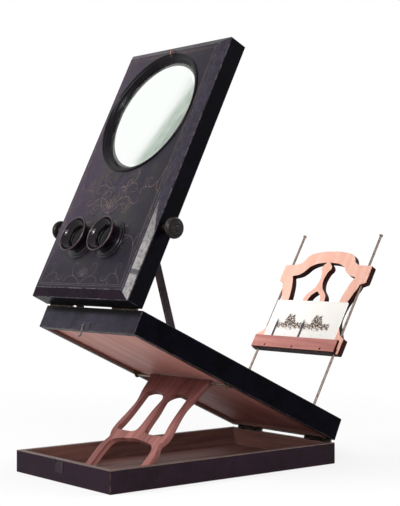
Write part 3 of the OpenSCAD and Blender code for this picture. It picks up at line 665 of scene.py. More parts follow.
def bevel_painted_highlight(name):
    """The right bevel's polish, with a painted highlight: a bright, scuffed strip along its lower part"""
    c = colours()
    material, tree = new_material(name)
    inner_line, outer_edge = 119.7, 130.0
    own = measured(tree, PANEL)
    # Scuffs are 5 mm wide and run along the bevel
    noise = {"Vector": spread(tree, PANEL, 5, 9, 5), "Scale": 1.0, "Detail": 6.0, "Roughness": 0.7}
    fleck = add_node(tree, "ShaderNodeTexNoise", noise)
    # The painted highlight fills most of the bevel below 108 mm and narrows towards its inner line up to 165
    # mm
    across = add_node(tree, "ShaderNodeMapRange", {
        "Value": own["X"], "From Min": inner_line, "From Max": outer_edge
    })
    width = add_node(tree, "ShaderNodeMapRange", {
        "Value": own["Y"], "From Min": 108.0, "From Max": 165.0, "To Min": 1.0, "To Max": -0.06
    })
    ragged = add_node(tree, "ShaderNodeMath", {0: fleck, 1: 0.5, 2: width}, operation="MULTIPLY_ADD")
    left_over = add_node(tree, "ShaderNodeMath", {0: ragged, 1: across}, operation="SUBTRACT")
    reached = add_node(tree, "ShaderNodeMapRange", {"Value": left_over, "From Min": 0.16, "From Max": 0.3})
    inner = add_node(tree, "ShaderNodeMath", {0: own["X"], 1: inner_line}, operation="GREATER_THAN")
    within = add_node(tree, "ShaderNodeMath", {0: reached, 1: inner}, operation="MULTIPLY")
    # A dark patch breaks the painted highlight 46 mm up
    nearby = add_node(tree, "ShaderNodeMath", {0: fleck, 1: 9.0, 2: own["Y"]}, operation="MULTIPLY_ADD")
    patch = add_node(tree, "ShaderNodeMath", {0: nearby, 1: 50.5, 2: 4.2}, operation="COMPARE")
    left = add_node(tree, "ShaderNodeMath", {0: patch, 1: 0.75}, operation="MULTIPLY")
    kept = add_node(tree, "ShaderNodeMath", {0: within, 1: left}, operation="SUBTRACT", use_clamp=True)
    # The painted highlight is brightest low down
    fade = add_node(tree, "ShaderNodeMapRange", {
        "Value": own["Y"], "From Min": 85.0, "From Max": 150.0, "To Min": 1.0, "To Max": 0.5
    })
    share = add_node(tree, "ShaderNodeMath", {0: kept, 1: fade}, operation="MULTIPLY")
    bright = laid_over(tree, srgb("#5d5a5e"), c.strip, fleck, 0.36, 0.56)
    polish = laid_over(tree, c.board_bloom, srgb("#26242c"), fleck, 0.36, 0.56)
    colour = add_node(tree, "ShaderNodeMix", {0: share, 6: polish, 7: bright}, data_type="RGBA")
    close_surface(tree, colour, 0.4, fleck, 0.0001, {"Specular IOR Level": 0.12})
    return material


# Tracery on the board


def stem(start, heading, length, curl, steps=26):
    """Points of a stem that sets out along heading and curls in more and more, in millimetres"""
    points = [Vector(start)]
    for i in range(steps):
        t = (i + 0.5) / steps
        way = math.radians(heading + curl * t**1.7)
        pace = length / steps * (1.25 - 0.5 * t)
        points.append(points[-1] + Vector((math.cos(way), math.sin(way))) * pace)
    return points


def spray(start, heading, length, curl, shoots):
    """A stem with smaller stems that branch to either side in turn"""
    main = stem(start, heading, length, curl)
    lines = [main]
    if shoots > 0:
        for number, share in enumerate((0.3, 0.5, 0.68)):
            spot = int(share * (len(main) - 1))
            way = main[spot + 1] - main[spot]
            turn = math.degrees(math.atan2(way.y, way.x))
            side = math.copysign(1, curl) * (-1) ** (number + 1)
            shorter = length * (0.5 - 0.08 * number)
            lines += spray(main[spot], turn + side * 28, shorter, side * abs(curl) * 1.1, shoots - 1)
    return lines


def leaf_outline(start, heading, length, width):
    """A small pointed leaf as one closed line"""
    along = Vector((math.cos(math.radians(heading)), math.sin(math.radians(heading))))
    across = Vector((-along.y, along.x))
    sides = []
    for sign in (1, -1):
        for t in (i / 8 for i in range(9)):
            swell = across * sign * width * math.sin(math.pi * t**0.8)
            sides.append(Vector(start) + along * length * t + swell)
    # Up one side and back down the other, with their common tip once
    return sides[:9] + sides[:8:-1][1:]


def board_tracery():
    """Lines of the traditional scrollwork on the right half of the board, in the panel's millimetres"""
    lines = []
    # Sprays above and below the eyepieces, and in the corners
    for start, heading, length, curl, shoots in (
        ((0, 142), 62, 92, -250, 1),
        ((0, 142), 20, 84, 240, 1),
        ((10, 186), 8, 78, 235, 1),
        ((0, 22), 38, 80, -240, 1),
        ((104, 24), 128, 66, 250, 1),
        ((108, 60), 96, 86, 190, 1),
        ((108, 218), 262, 74, -220, 1),
        ((106, 430), 250, 40, -210, 0),
    ):
        lines += spray(start, heading, length, curl, shoots)
    # A palmette on the middle line
    for turn in (90, 66, 42, 18):
        lines.append(leaf_outline((0, 150), turn, 26 if turn == 90 else 22, 3.2))
        lines.append(leaf_outline((0, 34), turn, 16, 2.6))
    return lines


class STEREOSCOPE_OT_tracery(bpy.types.Operator):
    """Worn gilt scrollwork and border lines on the lens panel's front"""

    bl_idname = "stereoscope.tracery"
    bl_label = "Board tracery"

    def execute(self, context):
        low, high = reach("panel_board", PANEL)
        bevel = 13 * MM
        lines = []
        # Two border lines run inside the bevels
        for inset in (5 * MM, 7.5 * MM):
            x = high.x - bevel - inset
            y0, y1 = low.y + bevel + inset, high.y - bevel - inset
            lines.append([(-x, y0), (x, y0), (x, y1), (-x, y1), (-x, y0)])
        middle, radius = ring_middle()
        clear = radius + 1.5 * MM
        # Each stem stops where it meets the inner border line or the lens's ring
        for points in board_tracery():
            kept = []
            for spot in (p * MM for p in points):
                if abs(spot.x) > x or not y0 < spot.y < y1 or (spot - Vector((0, middle))).length < clear:
                    break
                kept.append(spot)
            # A stump is left out
            if len(kept) > 4:
                lines += [[(side * p.x, p.y) for p in kept] for side in (1, -1)]
        curve = bpy.data.curves.new("tracery_lines", "CURVE")
        curve.dimensions = "3D"
        curve.bevel_depth = sizes().tracery_line / 2
        curve.bevel_resolution = 1
        for line in lines:
            spline = curve.splines.new("POLY")
            spline.points.add(len(line) - 1)
            for i, (point, xy) in enumerate(zip(spline.points, line)):
                point.co = (*xy, 0, 1)
                # Stems taper, and the border lines are a little finer than the stems' feet
                point.radius = 1 - 0.55 * i / len(line) if len(line) > 5 else 0.8
        holder = bpy.data.objects.new("tracery_lines", curve)
        bpy.context.scene.collection.objects.link(holder)
        bpy.context.view_layer.update()
        mesh = bpy.data.meshes.new_from_object(holder.evaluated_get(bpy.context.evaluated_depsgraph_get()))
        bpy.data.objects.remove(holder)
        bm = bmesh.new()
        bm.from_mesh(mesh)
        flat = sizes().tracery_rise / (sizes().tracery_line / 2)
        bmesh.ops.scale(bm, vec=(1, 1, flat), verts=bm.verts)
        bmesh.ops.transform(bm, matrix=PANEL @ Matrix.Translation((0, 0, high.z)), verts=bm.verts)
        settle(finish_mesh("board_tracery", bm, [worn_gilding("worn_gilding")]), "lens_panel", "ebonised")
        return {"FINISHED"}


def ring_middle():
    """Height of the large lens on the panel and the radius of its ring"""
    low, high = reach("lens_ring", PANEL)
    return (low.y + high.y) / 2, (high.x - low.x) / 2


def worn_gilding(name):
    """Bronze powder lines, mostly rubbed away: brown specks on the black polish"""
    c = colours()
    material, tree = new_material(name)
    # What is left lies in specks about 11 mm apart
    noise = {"Vector": spread(tree, PANEL, 11), "Scale": 1.0, "Detail": 7.0, "Roughness": 0.75}
    rub = add_node(tree, "ShaderNodeTexNoise", noise)
    # Less of it is left below 130 mm, where hands have rubbed the board
    own = measured(tree, PANEL)
    most = add_node(tree, "ShaderNodeMapRange", {
        "Value": own["Y"], "From Min": 60.0, "From Max": 130.0, "To Min": 0.14, "To Max": 0.45
    })
    colour = laid_over(tree, c.board_bloom, c.gilding, rub, 0.4, 0.6, most)
    close_surface(tree, colour, 0.5, rub, 0.00005, {"Specular IOR Level": 0.15})
    return material


# Large lens


class STEREOSCOPE_OT_large_lens(bpy.types.Operator):
    """Large lens in its turned ring, with the retaining ring and the wire hook"""

    bl_idname = "stereoscope.large_lens"
    bl_label = "Large lens"

    def execute(self, context):
        c = colours()
        middle, outer = ring_middle()
        at = PANEL @ Matrix.Translation((0, middle, 0))
        face = reach("panel_board", PANEL)[1].z / MM
        back = reach("lens_ring", PANEL)[0].z / MM
        # The ring is 13 mm wide, and its inner 8 mm go through the board
        width, wall = 13, 8
        r = outer / MM - width
        polish = ebonised(
            "ring_polish", PANEL, srgb("#070508"), srgb("#131014"), c.edge_rub, (0.1, 0.22), 0.09
        )
        outline = [(r + wall, back), (r + wall, face), (r + width, face)]
        outline += arc((r + 10.9, face + 0.4), 2.1, 0, 160, 10)
        roll = [(8.7, 0.6), (7.2, 0.4), (5.6, -0.6), (3.4, -2.6)]
        roll += [(1.6, -4.8), (0.4, -6), (0, -6.8), (0, -7.9)]
        outline += soft_line([(r + out, face + up) for out, up in roll], 3)
        outline += [(r + 2.2, face - 7.9), (r + 2.2, back)]
        settle(turned("lens_ring_turned", at, outline, [polish], 160), "lens_panel", "ebonised", "lens_ring")
        low, high = reach("large_lens", PANEL)
        edge, half, centre = (high.x - low.x) / 2 / MM, (high.z - low.z) / 2 / MM, (high.z + low.z) / 2 / MM
        rim, seat = 1.5, 4.6
        outline = lens_outline(edge, edge - seat, centre, rim, 0.78 * (half - rim), 16)
        # The painted reflection starts 50 mm right of the lens's middle.
        # The streaks move its border by 11 mm on average
        glass = clear_glass("lens_glass", c.glass, painted_reflection=50 + 11 - 0.5 * middle / MM)
        clear = [glass, ground_glass("lens_edge")]
        lens = turned("large_lens_glass", at, outline, clear, 160, choose=lambda radius: radius > edge - 1)
        settle(lens, "lens_panel", "clear_glass", "large_lens")
        worn_copy("lens_retainer", "lens_retaining_ring", "lens_panel", "ebonised", [polish], 0.15 * MM)
        copper = metal("old_copper", PANEL, c.copper, c.bare, (0.3, 0.5))
        worn_copy("lens_wire_hook", "wire_hook", "lens_panel", "brass", [copper], 0.02 * MM, 80.0)
        return {"FINISHED"}


# Eyepieces


class STEREOSCOPE_OT_eyepieces(bpy.types.Operator):
    """Two flared eyecups in stepped flanges, with their lenses"""

    bl_idname = "stereoscope.eyepieces"
    bl_label = "Eyepieces"

    def execute(self, context):
        c = colours()
        low, high = reach("eye_flanges", PANEL)
        middle, broad = (low.y + high.y) / 2, (high.y - low.y) / 2 / MM
        apart = high.x / MM - broad
        face = reach("panel_board", PANEL)[1].z / MM
        tip = reach("eye_rims", PANEL)[0].z / MM
        low, high = reach("eye_lenses", PANEL)
        lens_z, half = (low.z + high.z) / 2 / MM, (high.z - low.z) / 2 / MM
        low, high = reach("eye_tubes", PANEL)
        seat, shelf = low.z / MM, lens_z - 1.25
        # The cups flare by 7.2 mm, their walls are 4 mm thick, and half of a lens's rim is 1.2 mm thick
        flare, wall, rim = 7.2, 4, 1.2
        r = high.x / MM - apart - flare
        black = ebonite("eyecup_ebonite", PANEL, c.eyecup, srgb("#1b1018"), (0.04, 0.1), 0.22)
        brown = ebonite("eyecup_rim_horn", PANEL, c.horn, srgb("#4c3c40"), (0.08, 0.2), 0.25)
        polish = ebonised(
            "flange_polish", PANEL, srgb("#0b090d"), srgb("#1d191f"), c.edge_rub, (0.1, 0.22), 0.2
        )
        lining = bore_black("tube_lining")
        # A low index and a dark tint keep the small lenses as black as they look in their tubes.
        # The dark tint is painted shade, for the shade inside the tubes.
        glass = clear_glass("eye_glass", srgb("#303432"), 1.18)
        outside = [(1.8, -9.8), (2.8, -8.6), (3.6, -6.8), (5, -4.4), (6.4, -2), (flare, 0)]
        inside = [(5.2, 0), (3.6, -3), (1, -5.8), (-1.8, -7.6)]
        cup = [(r - wall, seat), (r, seat), (r, tip - 10.4)]
        cup += soft_line([(r + out, tip + up) for out, up in outside])
        cup += soft_line([(r + out, tip + up) for out, up in inside])
        cup += [(r - 1.8, shelf), (r - wall, shelf)]
        lip = [(r + 5.15, tip)] + arc((r + 6.35, tip + 0.6), 1.2, 180, 0, 10) + [(r + 7.55, tip)]
        steps = [(0, 0), (0, 1.3), (-0.8, 2.3), (-2, 2.6), (-3.6, 2.6), (-3.9, 3.8), (-4.8, 4.9), (-6.2, 5.5)]
        flange = [(r + 0.06, face - 9.4), (r + 3, face - 9.4), (r + 3, face)]
        flange += [(broad + out, face + up) for out, up in steps] + [(r + 0.06, face + 5.5)]
        flat = r - 4.4
        lens = lens_outline(r - 1.9, flat, lens_z, rim, half - rim, 10)

        def bored(radius):
            return radius < r - 3.5

        def seated(radius):
            return radius > flat + 1

        parts = (
            ("eyecup", "eye_tubes", "eyepieces", "ebonised", (cup, [black, lining], 96, 35, bored)),
            ("eyecup_rim", "eye_rims", "eyepieces", "rim_wood", (lip, [brown])),
            ("eye_flange", "eye_flanges", "lens_panel", "ebonised", (flange, [polish], 96, 50)),
            ("eye_lens", "eye_lenses", "eyepieces", "clear_glass", (lens, [glass, lining], 64, 35, seated)),
        )
        for number, side in enumerate((-1, 1)):
            at = PANEL @ Matrix.Translation((side * apart * MM, middle, 0))
            for name, node, body, slot, form in parts:
                # The left piece stands for the CAD's node, which holds both
                made = turned(f"{name}_{number + 1}", at, *form)
                settle(made, body, slot, *([] if number else [node]))
        dress(metal("rack_brass", PANEL, c.brass, c.dark_brass, (0.35, 0.55)), "focus_racks")
        dress(metal("blackened_brass", PANEL, srgb("#2b2527"), c.eyecup, (0.3, 0.5)), "eye_retainers")
        return {"FINISHED"}


class STEREOSCOPE_OT_focus_gear(bpy.types.Operator):
    """Focusing shaft with its turned knobs, pinions, bushes and carrier"""

    bl_idname = "stereoscope.focus_gear"
    bl_label = "Focusing gear"

    def execute(self, context):
        c = colours()
        low, high = reach("focus_shaft", PANEL)
        y, z = (low.y + high.y) / 2, (low.z + high.z) / 2
        # The heights in a knob's outline count from 15 mm short of the shaft's end
        shaft_end = 15 * MM
        black = ebonite("knob_ebonite", PANEL, srgb("#171313"), srgb("#362b27"), (0.15, 0.3), 0.16)
        neck = [(9, 3.2), (7.4, 4), (6.8, 5.6), (7.2, 7.4), (9, 8.6), (12.6, 9.2), (14.8, 10)]
        neck += [(16, 11.4), (16.3, 13.4), (16, 15.4), (15, 17), (13.4, 18)]
        button = [(8, 19), (5.4, 18.9), (4.8, 18.2), (4.2, 18.9), (2.4, 19.6), (0, 19.7)]
        outline = [(3, 1.2), (9, 1.2), (9.6, 2)] + soft_line(neck)
        outline += [(12.4, 18.1), (11.9, 17.4), (11.2, 17.3), (10.6, 18.2)]
        outline += soft_line(button, 3) + [(0, 15), (3, 15)]
        for number, side in enumerate((-1, 1)):
            spot = Matrix.Translation((side * (high.x - shaft_end), y, z))
            at = PANEL @ spot @ Matrix.Rotation(side * math.pi / 2, 4, "Y")
            knob = turned(f"focus_knob_{number + 1}", at, outline, [black])
            settle(knob, "focus_drive", "ebonised", *([] if number else ["focus_knobs"]))
        steel = metal("shaft_steel", PANEL, c.steel, c.steel_dark, (0.3, 0.5))
        worn_copy("focus_shaft", "focus_shaft_smooth", "focus_drive", "steel", [steel], 0.3 * MM, 60.0)
        dress(metal("pinion_brass", PANEL, c.brass, c.dark_brass, (0.3, 0.5)), "focus_pinions")
        dress(metal("bush_brass", PANEL, c.dark_brass, c.eyecup, (0.35, 0.55)), "shaft_bushes")
        wood = bare_wood("carrier_wood", PANEL, c.mahogany, c.mahogany_dark, "x")
        worn_copy("focus_carrier", "focus_carrier_board", "eyepieces", "mahogany", [wood], 0.4 * MM)
        return {"FINISHED"}


# Picture holder


class STEREOSCOPE_OT_holder(bpy.types.Operator):
    """Fretwork picture holder with dark sawn edges, its ledge and the ledge's screws"""

    bl_idname = "stereoscope.holder"
    bl_label = "Picture holder"

    def execute(self, context):
        c = colours()
        face_wood = bare_wood("holder_wood", RODS, c.holder, c.holder_dark, "y", (0.4, 0.55))
        # The holder's sawn edges and the ledge's underside and ends are dark
        edge_wood = bare_wood("holder_edge_wood", RODS, c.cut_edge, srgb("#1a0a0a"), "y", (0.5, 0.65), 0.05)
        ledge_wood = bare_wood("ledge_wood", RODS, c.ledge, c.ledge_dark, "x", (0.4, 0.55))
        turn = RODS.to_3x3().inverted()

        def sawn(face):
            return 0 if abs((turn @ face.normal).z) > 0.5 else 1

        def under(face):
            normal = turn @ face.normal
            return 1 if normal.y < -0.5 or abs(normal.x) > 0.5 else 0

        for node, name, wood, choose in (
            ("holder_back", "holder_fretwork", face_wood, sawn),
            ("holder_ledge", "holder_ledge_strip", ledge_wood, under),
        ):
            worn_copy(
                node, name, "holder", "light_wood", [wood, edge_wood], sizes().fret_edge / 2, 30.0, choose
            )
        dress(metal("screw_iron", RODS, srgb("#4a3a34"), srgb("#2a1f1c"), (0.5, 0.7)), "ledge_screws")
        return {"FINISHED"}


class STEREOSCOPE_OT_card(bpy.types.Operator):
    """Picture card: cream board with two small printed views of trees by water"""

    bl_idname = "stereoscope.card"
    bl_label = "Picture card"

    def execute(self, context):
        low, high = reach("stereo_card", RODS)
        size = high - low
        bm = bmesh.new()
        bmesh.ops.create_cube(bm, size=1)
        bmesh.ops.scale(bm, vec=size, verts=bm.verts)
        bmesh.ops.translate(bm, vec=(low + high) / 2, verts=bm.verts)
        posts = [e for e in bm.edges if abs(e.verts[0].co.z - e.verts[1].co.z) > size.z / 2]
        bmesh.ops.bevel(
            bm, geom=posts, offset=sizes().card_corner, segments=6, profile=0.5, affect="EDGES", material=-1
        )
        bmesh.ops.transform(bm, matrix=RODS, verts=bm.verts)
        made = finish_mesh("picture_card", bm, [printed_card("printed_card")])
        settle(made, "holder", "card", "stereo_card")
        return {"FINISHED"}


def printed_card(name):
    """Smooth cream card, printed by halftone: two like views in grey violet and ochre inks"""
    c = colours()
    material, tree = new_material(name)
    # The two views stand side by side, in millimetres from the middle and the foot of the rods
    left, width, foot, tall = -70.0, 67.5, 138.0, 58.0
    own = measured(tree, RODS)
    shifted = add_node(tree, "ShaderNodeMath", {0: own["X"], 1: left}, operation="SUBTRACT")
    across = add_node(tree, "ShaderNodeMath", {0: shifted, 1: width}, operation="FLOORED_MODULO")
    up = add_node(tree, "ShaderNodeMath", {0: own["Y"], 1: foot}, operation="SUBTRACT")
    spot = add_node(tree, "ShaderNodeCombineXYZ", {"X": across, "Y": up})
    # A ragged line of tree tops: about 30 mm up, and 16 mm higher over the hill in the middle
    ragged = add_node(tree, "ShaderNodeTexNoise", {
        "Vector": spot, "Scale": 0.16, "Detail": 4.0, "Roughness": 0.7
    })
    off_hill = add_node(tree, "ShaderNodeMath", {0: across, 1: 34.0}, operation="SUBTRACT")
    hill = add_node(tree, "ShaderNodeMath", {0: off_hill, 1: off_hill}, operation="MULTIPLY")
    levels = {"Value": hill, "From Min": 0.0, "From Max": 260.0, "To Min": 46.0, "To Max": 30.0}
    slope = add_node(tree, "ShaderNodeMapRange", levels, interpolation_type="SMOOTHERSTEP")
    tops = add_node(tree, "ShaderNodeMath", {0: ragged, 1: 26.0, 2: -13.0}, operation="MULTIPLY_ADD")
    height = add_node(tree, "ShaderNodeMath", {0: up, 1: tops}, operation="ADD")
    over = add_node(tree, "ShaderNodeMath", {0: slope, 1: height}, operation="SUBTRACT")
    # Masks by levels: below the tops, over the bank, in the water, and the trunk, 5 mm wide, of the one dark
    # tree that stands at the left of each view
    below_tops, over_bank, in_water, trunk, under_crown = [
        add_node(tree, "ShaderNodeMapRange", {"Value": value, "From Min": none, "From Max": full})
        for value, none, full in (
            (over, 0.0, 3.0),
            (height, 15.0, 21.0),
            (height, 17.0, 12.0),
            (across, 6.5, 4.5),
            (height, 36.0, 30.0),
        )
    ]
    trees = add_node(tree, "ShaderNodeMath", {0: below_tops, 1: over_bank}, operation="MULTIPLY")
    post = add_node(tree, "ShaderNodeMath", {0: trunk, 1: under_crown}, operation="MULTIPLY")
    # Two inks, grey violet and ochre in patches about 12 mm wide, print leaves 3 mm wide
    leaves = add_node(tree, "ShaderNodeTexNoise", {
        "Vector": spot, "Scale": 0.3, "Detail": 2.0, "Roughness": 0.7
    })
    patch = add_node(tree, "ShaderNodeTexNoise", {"Vector": spot, "Scale": 0.08, "Detail": 1.0})
    inks = laid_over(tree, srgb("#33262f"), srgb("#85602f"), patch, 0.5, 0.62, 0.6)
    foliage = laid_over(tree, inks, srgb("#eadfd2"), leaves, 0.5, 0.6)
    # Water lies below the bank: faint level strokes
    level = add_node(tree, "ShaderNodeVectorMath", {0: spot, 1: (0.1, 0.7, 1)}, operation="MULTIPLY")
    strokes = add_node(tree, "ShaderNodeTexNoise", {"Vector": level, "Scale": 1.0, "Detail": 2.0})
    water = add_node(tree, "ShaderNodeMapRange", {
        "Value": strokes, "From Min": 0.5, "From Max": 0.75, "To Max": 0.4
    })
    wet = add_node(tree, "ShaderNodeMath", {0: water, 1: in_water}, operation="MULTIPLY")
    view = c.card
    for share, ink in ((wet, srgb("#a9b0b2")), (trees, foliage), (post, srgb("#463c40"))):
        view = add_node(tree, "ShaderNodeMix", {0: share, 6: view, 7: ink}, data_type="RGBA")
    # Paper is left bare round the two views
    top = add_node(tree, "ShaderNodeMath", {0: up, 1: tall}, operation="LESS_THAN")
    bottom = add_node(tree, "ShaderNodeMath", {0: up, 1: 0.0}, operation="GREATER_THAN")
    sides = add_node(tree, "ShaderNodeMath", {0: shifted, 1: width, 2: width}, operation="COMPARE")
    rows = add_node(tree, "ShaderNodeMath", {0: top, 1: bottom}, operation="MULTIPLY")
    inside = add_node(tree, "ShaderNodeMath", {0: rows, 1: sides}, operation="MULTIPLY")
    colour = add_node(tree, "ShaderNodeMix", {0: inside, 6: c.card, 7: view}, data_type="RGBA")
    # Paper fibres are drawn 1.5 mm long, coarser than the real ones
    fibre = add_node(tree, "ShaderNodeTexNoise", {
        "Vector": spread(tree, RODS, 1.5), "Scale": 1.0, "Detail": 4.0
    })
    close_surface(tree, colour, 0.7, fibre, 0.00003, {"Specular IOR Level": 0.3})
    return material


class STEREOSCOPE_OT_rods(bpy.types.Operator):
    """Two steel rods with domed tips, standing in a turned crossbar"""

    bl_idname = "stereoscope.rods"
    bl_label = "Rods and crossbar"

    def execute(self, context):
        c = colours()
        steel = metal("rod_steel", RODS, c.steel, c.steel_dark, (0.28, 0.5))
        names = {"rods": "rods_drawn", "rod_caps": "rod_tips", "crossbar_pins": "crossbar_pivots"}
        for node, name in names.items():
            worn_copy(node, name, "rod_frame", "steel", [steel], 0.1 * MM, 70.0)
        wood = bare_wood("crossbar_wood", RODS, c.mahogany, c.mahogany_dark, "x")
        worn_copy("rod_crossbar", "crossbar_turned", "rod_frame", "mahogany", [wood], 0.6 * MM, 60.0)
        return {"FINISHED"}


class STEREOSCOPE_OT_prop(bpy.types.Operator):
    """Fretwork prop under the table, with its pivot rod and wall plates"""

    bl_idname = "stereoscope.prop"
    bl_label = "Prop"

    def execute(self, context):
        c = colours()
        # The prop is painted darker towards its top, as painted shade under the table
        wood = bare_wood("prop_wood", PROP, c.prop, c.prop_dark, painted_shade=(-130, -20, srgb("#94787c")))
        worn_copy("prop", "prop_fretwork", "prop", "mahogany", [wood], sizes().fret_edge, 40.0)
        dress(metal("pivot_steel", TABLE, c.steel, c.steel_dark, (0.3, 0.5)), "prop_rod")
        brass = metal("plate_brass", TABLE, c.brass, c.dark_brass, (0.35, 0.55))
        dress(brass, "prop_plates", "prop_plate_screws")
        return {"FINISHED"}


class STEREOSCOPE_OT_stays(bpy.types.Operator):
    """Two ebonised stays that hold the lens panel up"""

    bl_idname = "stereoscope.stays"
    bl_label = "Stays"

    def execute(self, context):
        c = colours()
        low, high = reach("stay_right", GROUND)
        lean = place(low, (0, low.y - high.y, high.z - low.z))
        polish = ebonised("stay_polish", lean, srgb("#171114"), srgb("#2b2226"), c.bare, (0.35, 0.5), 0.08)
        for side in ("left", "right"):
            worn_copy(f"stay_{side}", f"stay_{side}_bar", f"{side}_stay", "ebonised", [polish], 0.5 * MM)
        dress(metal("stay_pin_brass", TABLE, c.brass, c.dark_brass, (0.3, 0.5)), "stay_pins")
        return {"FINISHED"}


# Hinges and latch


def screw_head(bm, where, radius):
    """A flat slotted screw head, sunk flush, at the origin of a place and facing its Z"""
    height, depth, slot = 0.3 * MM, 0.12 * MM, 0.22 * radius
    made = bmesh.ops.create_cone(
        bm, cap_ends=True, segments=24, radius1=radius, radius2=radius * 0.92, depth=height
    )
    verts = made["verts"]
    for offset in (-slot, slot):
        near = list({f for v in verts for f in v.link_faces})
        geometry = verts + list({e for v in verts for e in v.link_edges}) + near
        cut = bmesh.ops.bisect_plane(bm, geom=geometry, plane_co=(offset, 0, 0), plane_no=(1, 0, 0))
        verts += [part for part in cut["geom"] if isinstance(part, bmesh.types.BMVert)]
        verts = list({v for v in verts if v.is_valid})
    faces = {f for v in verts for f in v.link_faces}
    floor = [f for f in faces if f.normal.z > 0.9 and abs(f.calc_center_median().x) < slot * 0.5]
    sunk = bmesh.ops.extrude_discrete_faces(bm, faces=floor)
    low = {v for f in sunk["faces"] for v in f.verts}
    bmesh.ops.translate(bm, vec=(0, 0, -depth), verts=list(low))
    bmesh.ops.transform(bm, matrix=where, verts=list({v for v in verts if v.is_valid} | low))


class STEREOSCOPE_OT_hinges(bpy.types.Operator):
    """Brass butt hinges between the three boxes, with slotted screws"""

    bl_idname = "stereoscope.hinges"
    bl_label = "Hinges"

    def execute(self, context):
        c = colours()
        steel = metal("hinge_pin_steel", TABLE, c.steel, c.steel_dark, (0.35, 0.5))
        dress(steel, "rear_hinge_pins", "front_hinge_pins")
        rear = TABLE.translation
        front = TABLE.inverted() @ PANEL.translation
        # y and z are where the screws stand on a leaf, and turn faces them out of it
        half_leaf, screw_pitch = 31 * MM, 22 * MM
        for node, body, where, y, z, turn in (
            ("rear_hinge_fixed", "base", GROUND, rear.y - 7 * MM, rear.z - 1 * MM, 0),
            ("rear_hinge_moving", "table", TABLE, -7.1 * MM, 0.98 * MM, math.pi),
            ("front_hinge_fixed", "table", TABLE, front.y + 6.2 * MM, front.z - 0.3 * MM, 0),
            ("front_hinge_moving", "lens_panel", PANEL, 6.2 * MM, 0.3 * MM, math.pi),
        ):
            brass = metal(f"{node}_brass", where, c.dark_brass, c.eyecup, (0.35, 0.55))
            worn_copy(node, f"{node}_leaves", body, "brass", [brass], sizes().metal_edge)
            middle = reach(node, where)[1].x - half_leaf
            bm = bmesh.new()
            for side in (-1, 1):
                for number, along in enumerate((-screw_pitch, 0, screw_pitch)):
                    spot = Matrix.Translation((side * middle + along, y, z))
                    slot = Matrix.Rotation(math.radians(35 + 50 * number * side), 4, "Z")
                    at = where @ spot @ Matrix.Rotation(turn, 4, "X") @ slot
                    screw_head(bm, at, sizes().screw_head)
            settle(finish_mesh(f"{node}_screws", bm, [brass], 30), body, "brass")
        return {"FINISHED"}


class STEREOSCOPE_OT_latch(bpy.types.Operator):
    """Latch hook and its plates on the table and the base, and the panel's catch"""

    bl_idname = "stereoscope.latch"
    bl_label = "Latch"

    def execute(self, context):
        c = colours()
        pale = metal("hook_brass", TABLE, srgb("#6b6768"), srgb("#45413f"), (0.4, 0.6))
        worn_copy("latch_hook", "latch_hook_flat", "hook", "brass", [pale], sizes().metal_edge)
        dress(pale, "latch_pivot")
        for name, where, black, bloom, gloss, node in (
            ("latch_plate_polish", TABLE, "#222127", "#3a3940", 0.1, "latch_plate"),
            ("keeper_polish", GROUND, "#21171e", "#352a31", 0.08, "latch_keeper"),
        ):
            dress(ebonised(name, where, srgb(black), srgb(bloom), c.bare, (0.4, 0.55), gloss), node)
        dress(metal("catch_brass", PANEL, c.brass, c.dark_brass, (0.3, 0.5)), "top_catch")
        return {"FINISHED"}


# Stage


def seen_directly(tree):
    """1 for what the camera, polished metal or glass sees, and 0 for what lights the object"""
    path = add_node(tree, "ShaderNodeLightPath").node.outputs
    through = {0: path["Is Camera Ray"], 1: path["Is Transmission Ray"]}
    seen = add_node(tree, "ShaderNodeMath", through, operation="MAXIMUM")
    return add_node(tree, "ShaderNodeMath", {0: seen, 1: path["Is Glossy Ray"]}, operation="MAXIMUM")


class STEREOSCOPE_OT_stage(bpy.types.Operator):
    """Pale floor, soft lights and the camera"""

    bl_idname = "stereoscope.stage"
    bl_label = "Stage"

    def execute(self, context):
        bm = bmesh.new()
        bmesh.ops.create_grid(bm, x_segments=1, y_segments=1, size=12)
        finish_mesh("floor", bm, [floor_material("pale_floor", colours().floor)])
        world = bpy.data.worlds.new("studio")
        context.scene.world = world
        world.use_nodes = True
        tree = world.node_tree
        tree.nodes.clear()
        # The camera, glossy metal and glass see white; the object is lit by a dimmer grey
        white = add_node(tree, "ShaderNodeBackground", {"Color": (1, 1, 1, 1), "Strength": 1.0})
        dim = add_node(tree, "ShaderNodeBackground", {"Color": (1, 1, 1, 1), "Strength": 0.45})
        both = add_node(tree, "ShaderNodeMixShader", {0: seen_directly(tree), 1: dim, 2: white})
        add_node(tree, "ShaderNodeOutputWorld", {"Surface": both})
        target = Vector((0, 0, 0.3))
        for name, spot, size, power in (
            ("key", (-0.9, -2.3, 2.0), 1.2, 50),
            ("sparkle", (2.2, -2.0, 1.3), 0.15, 34),
            ("fill", (2.2, -1.9, 1.1), 1.6, 62),
            ("rear", (0.8, 2.2, 1.8), 1.6, 26),
        ):
            light = bpy.data.lights.new(name, "AREA")
            light.size = size
            light.energy = power
            lamp = bpy.data.objects.new(name, light)
            lamp.location = spot
            # The sparkle only glints on polish: it casts no hard shadows
            lamp.visible_diffuse = name != "sparkle"
            lamp.rotation_euler = (target - lamp.location).to_track_quat("-Z", "Y").to_euler()
            context.scene.collection.objects.link(lamp)
        # The camera was fitted to the corners of the boxes
        lens = bpy.data.cameras.new("camera")
        lens.lens = 92.28
        lens.sensor_width = 36
        camera = bpy.data.objects.new("camera", lens)
        eye, aim = Vector((1.6573, -1.2900, 0.3442)), Vector((0.0308, 0.0193, 0.3472))
        camera.location = eye
        camera.rotation_euler = (aim - eye).to_track_quat("-Z", "Y").to_euler()
        context.scene.collection.objects.link(camera)
        context.scene.camera = camera
        context.scene.view_settings.view_transform = "Standard"
        return {"FINISHED"}


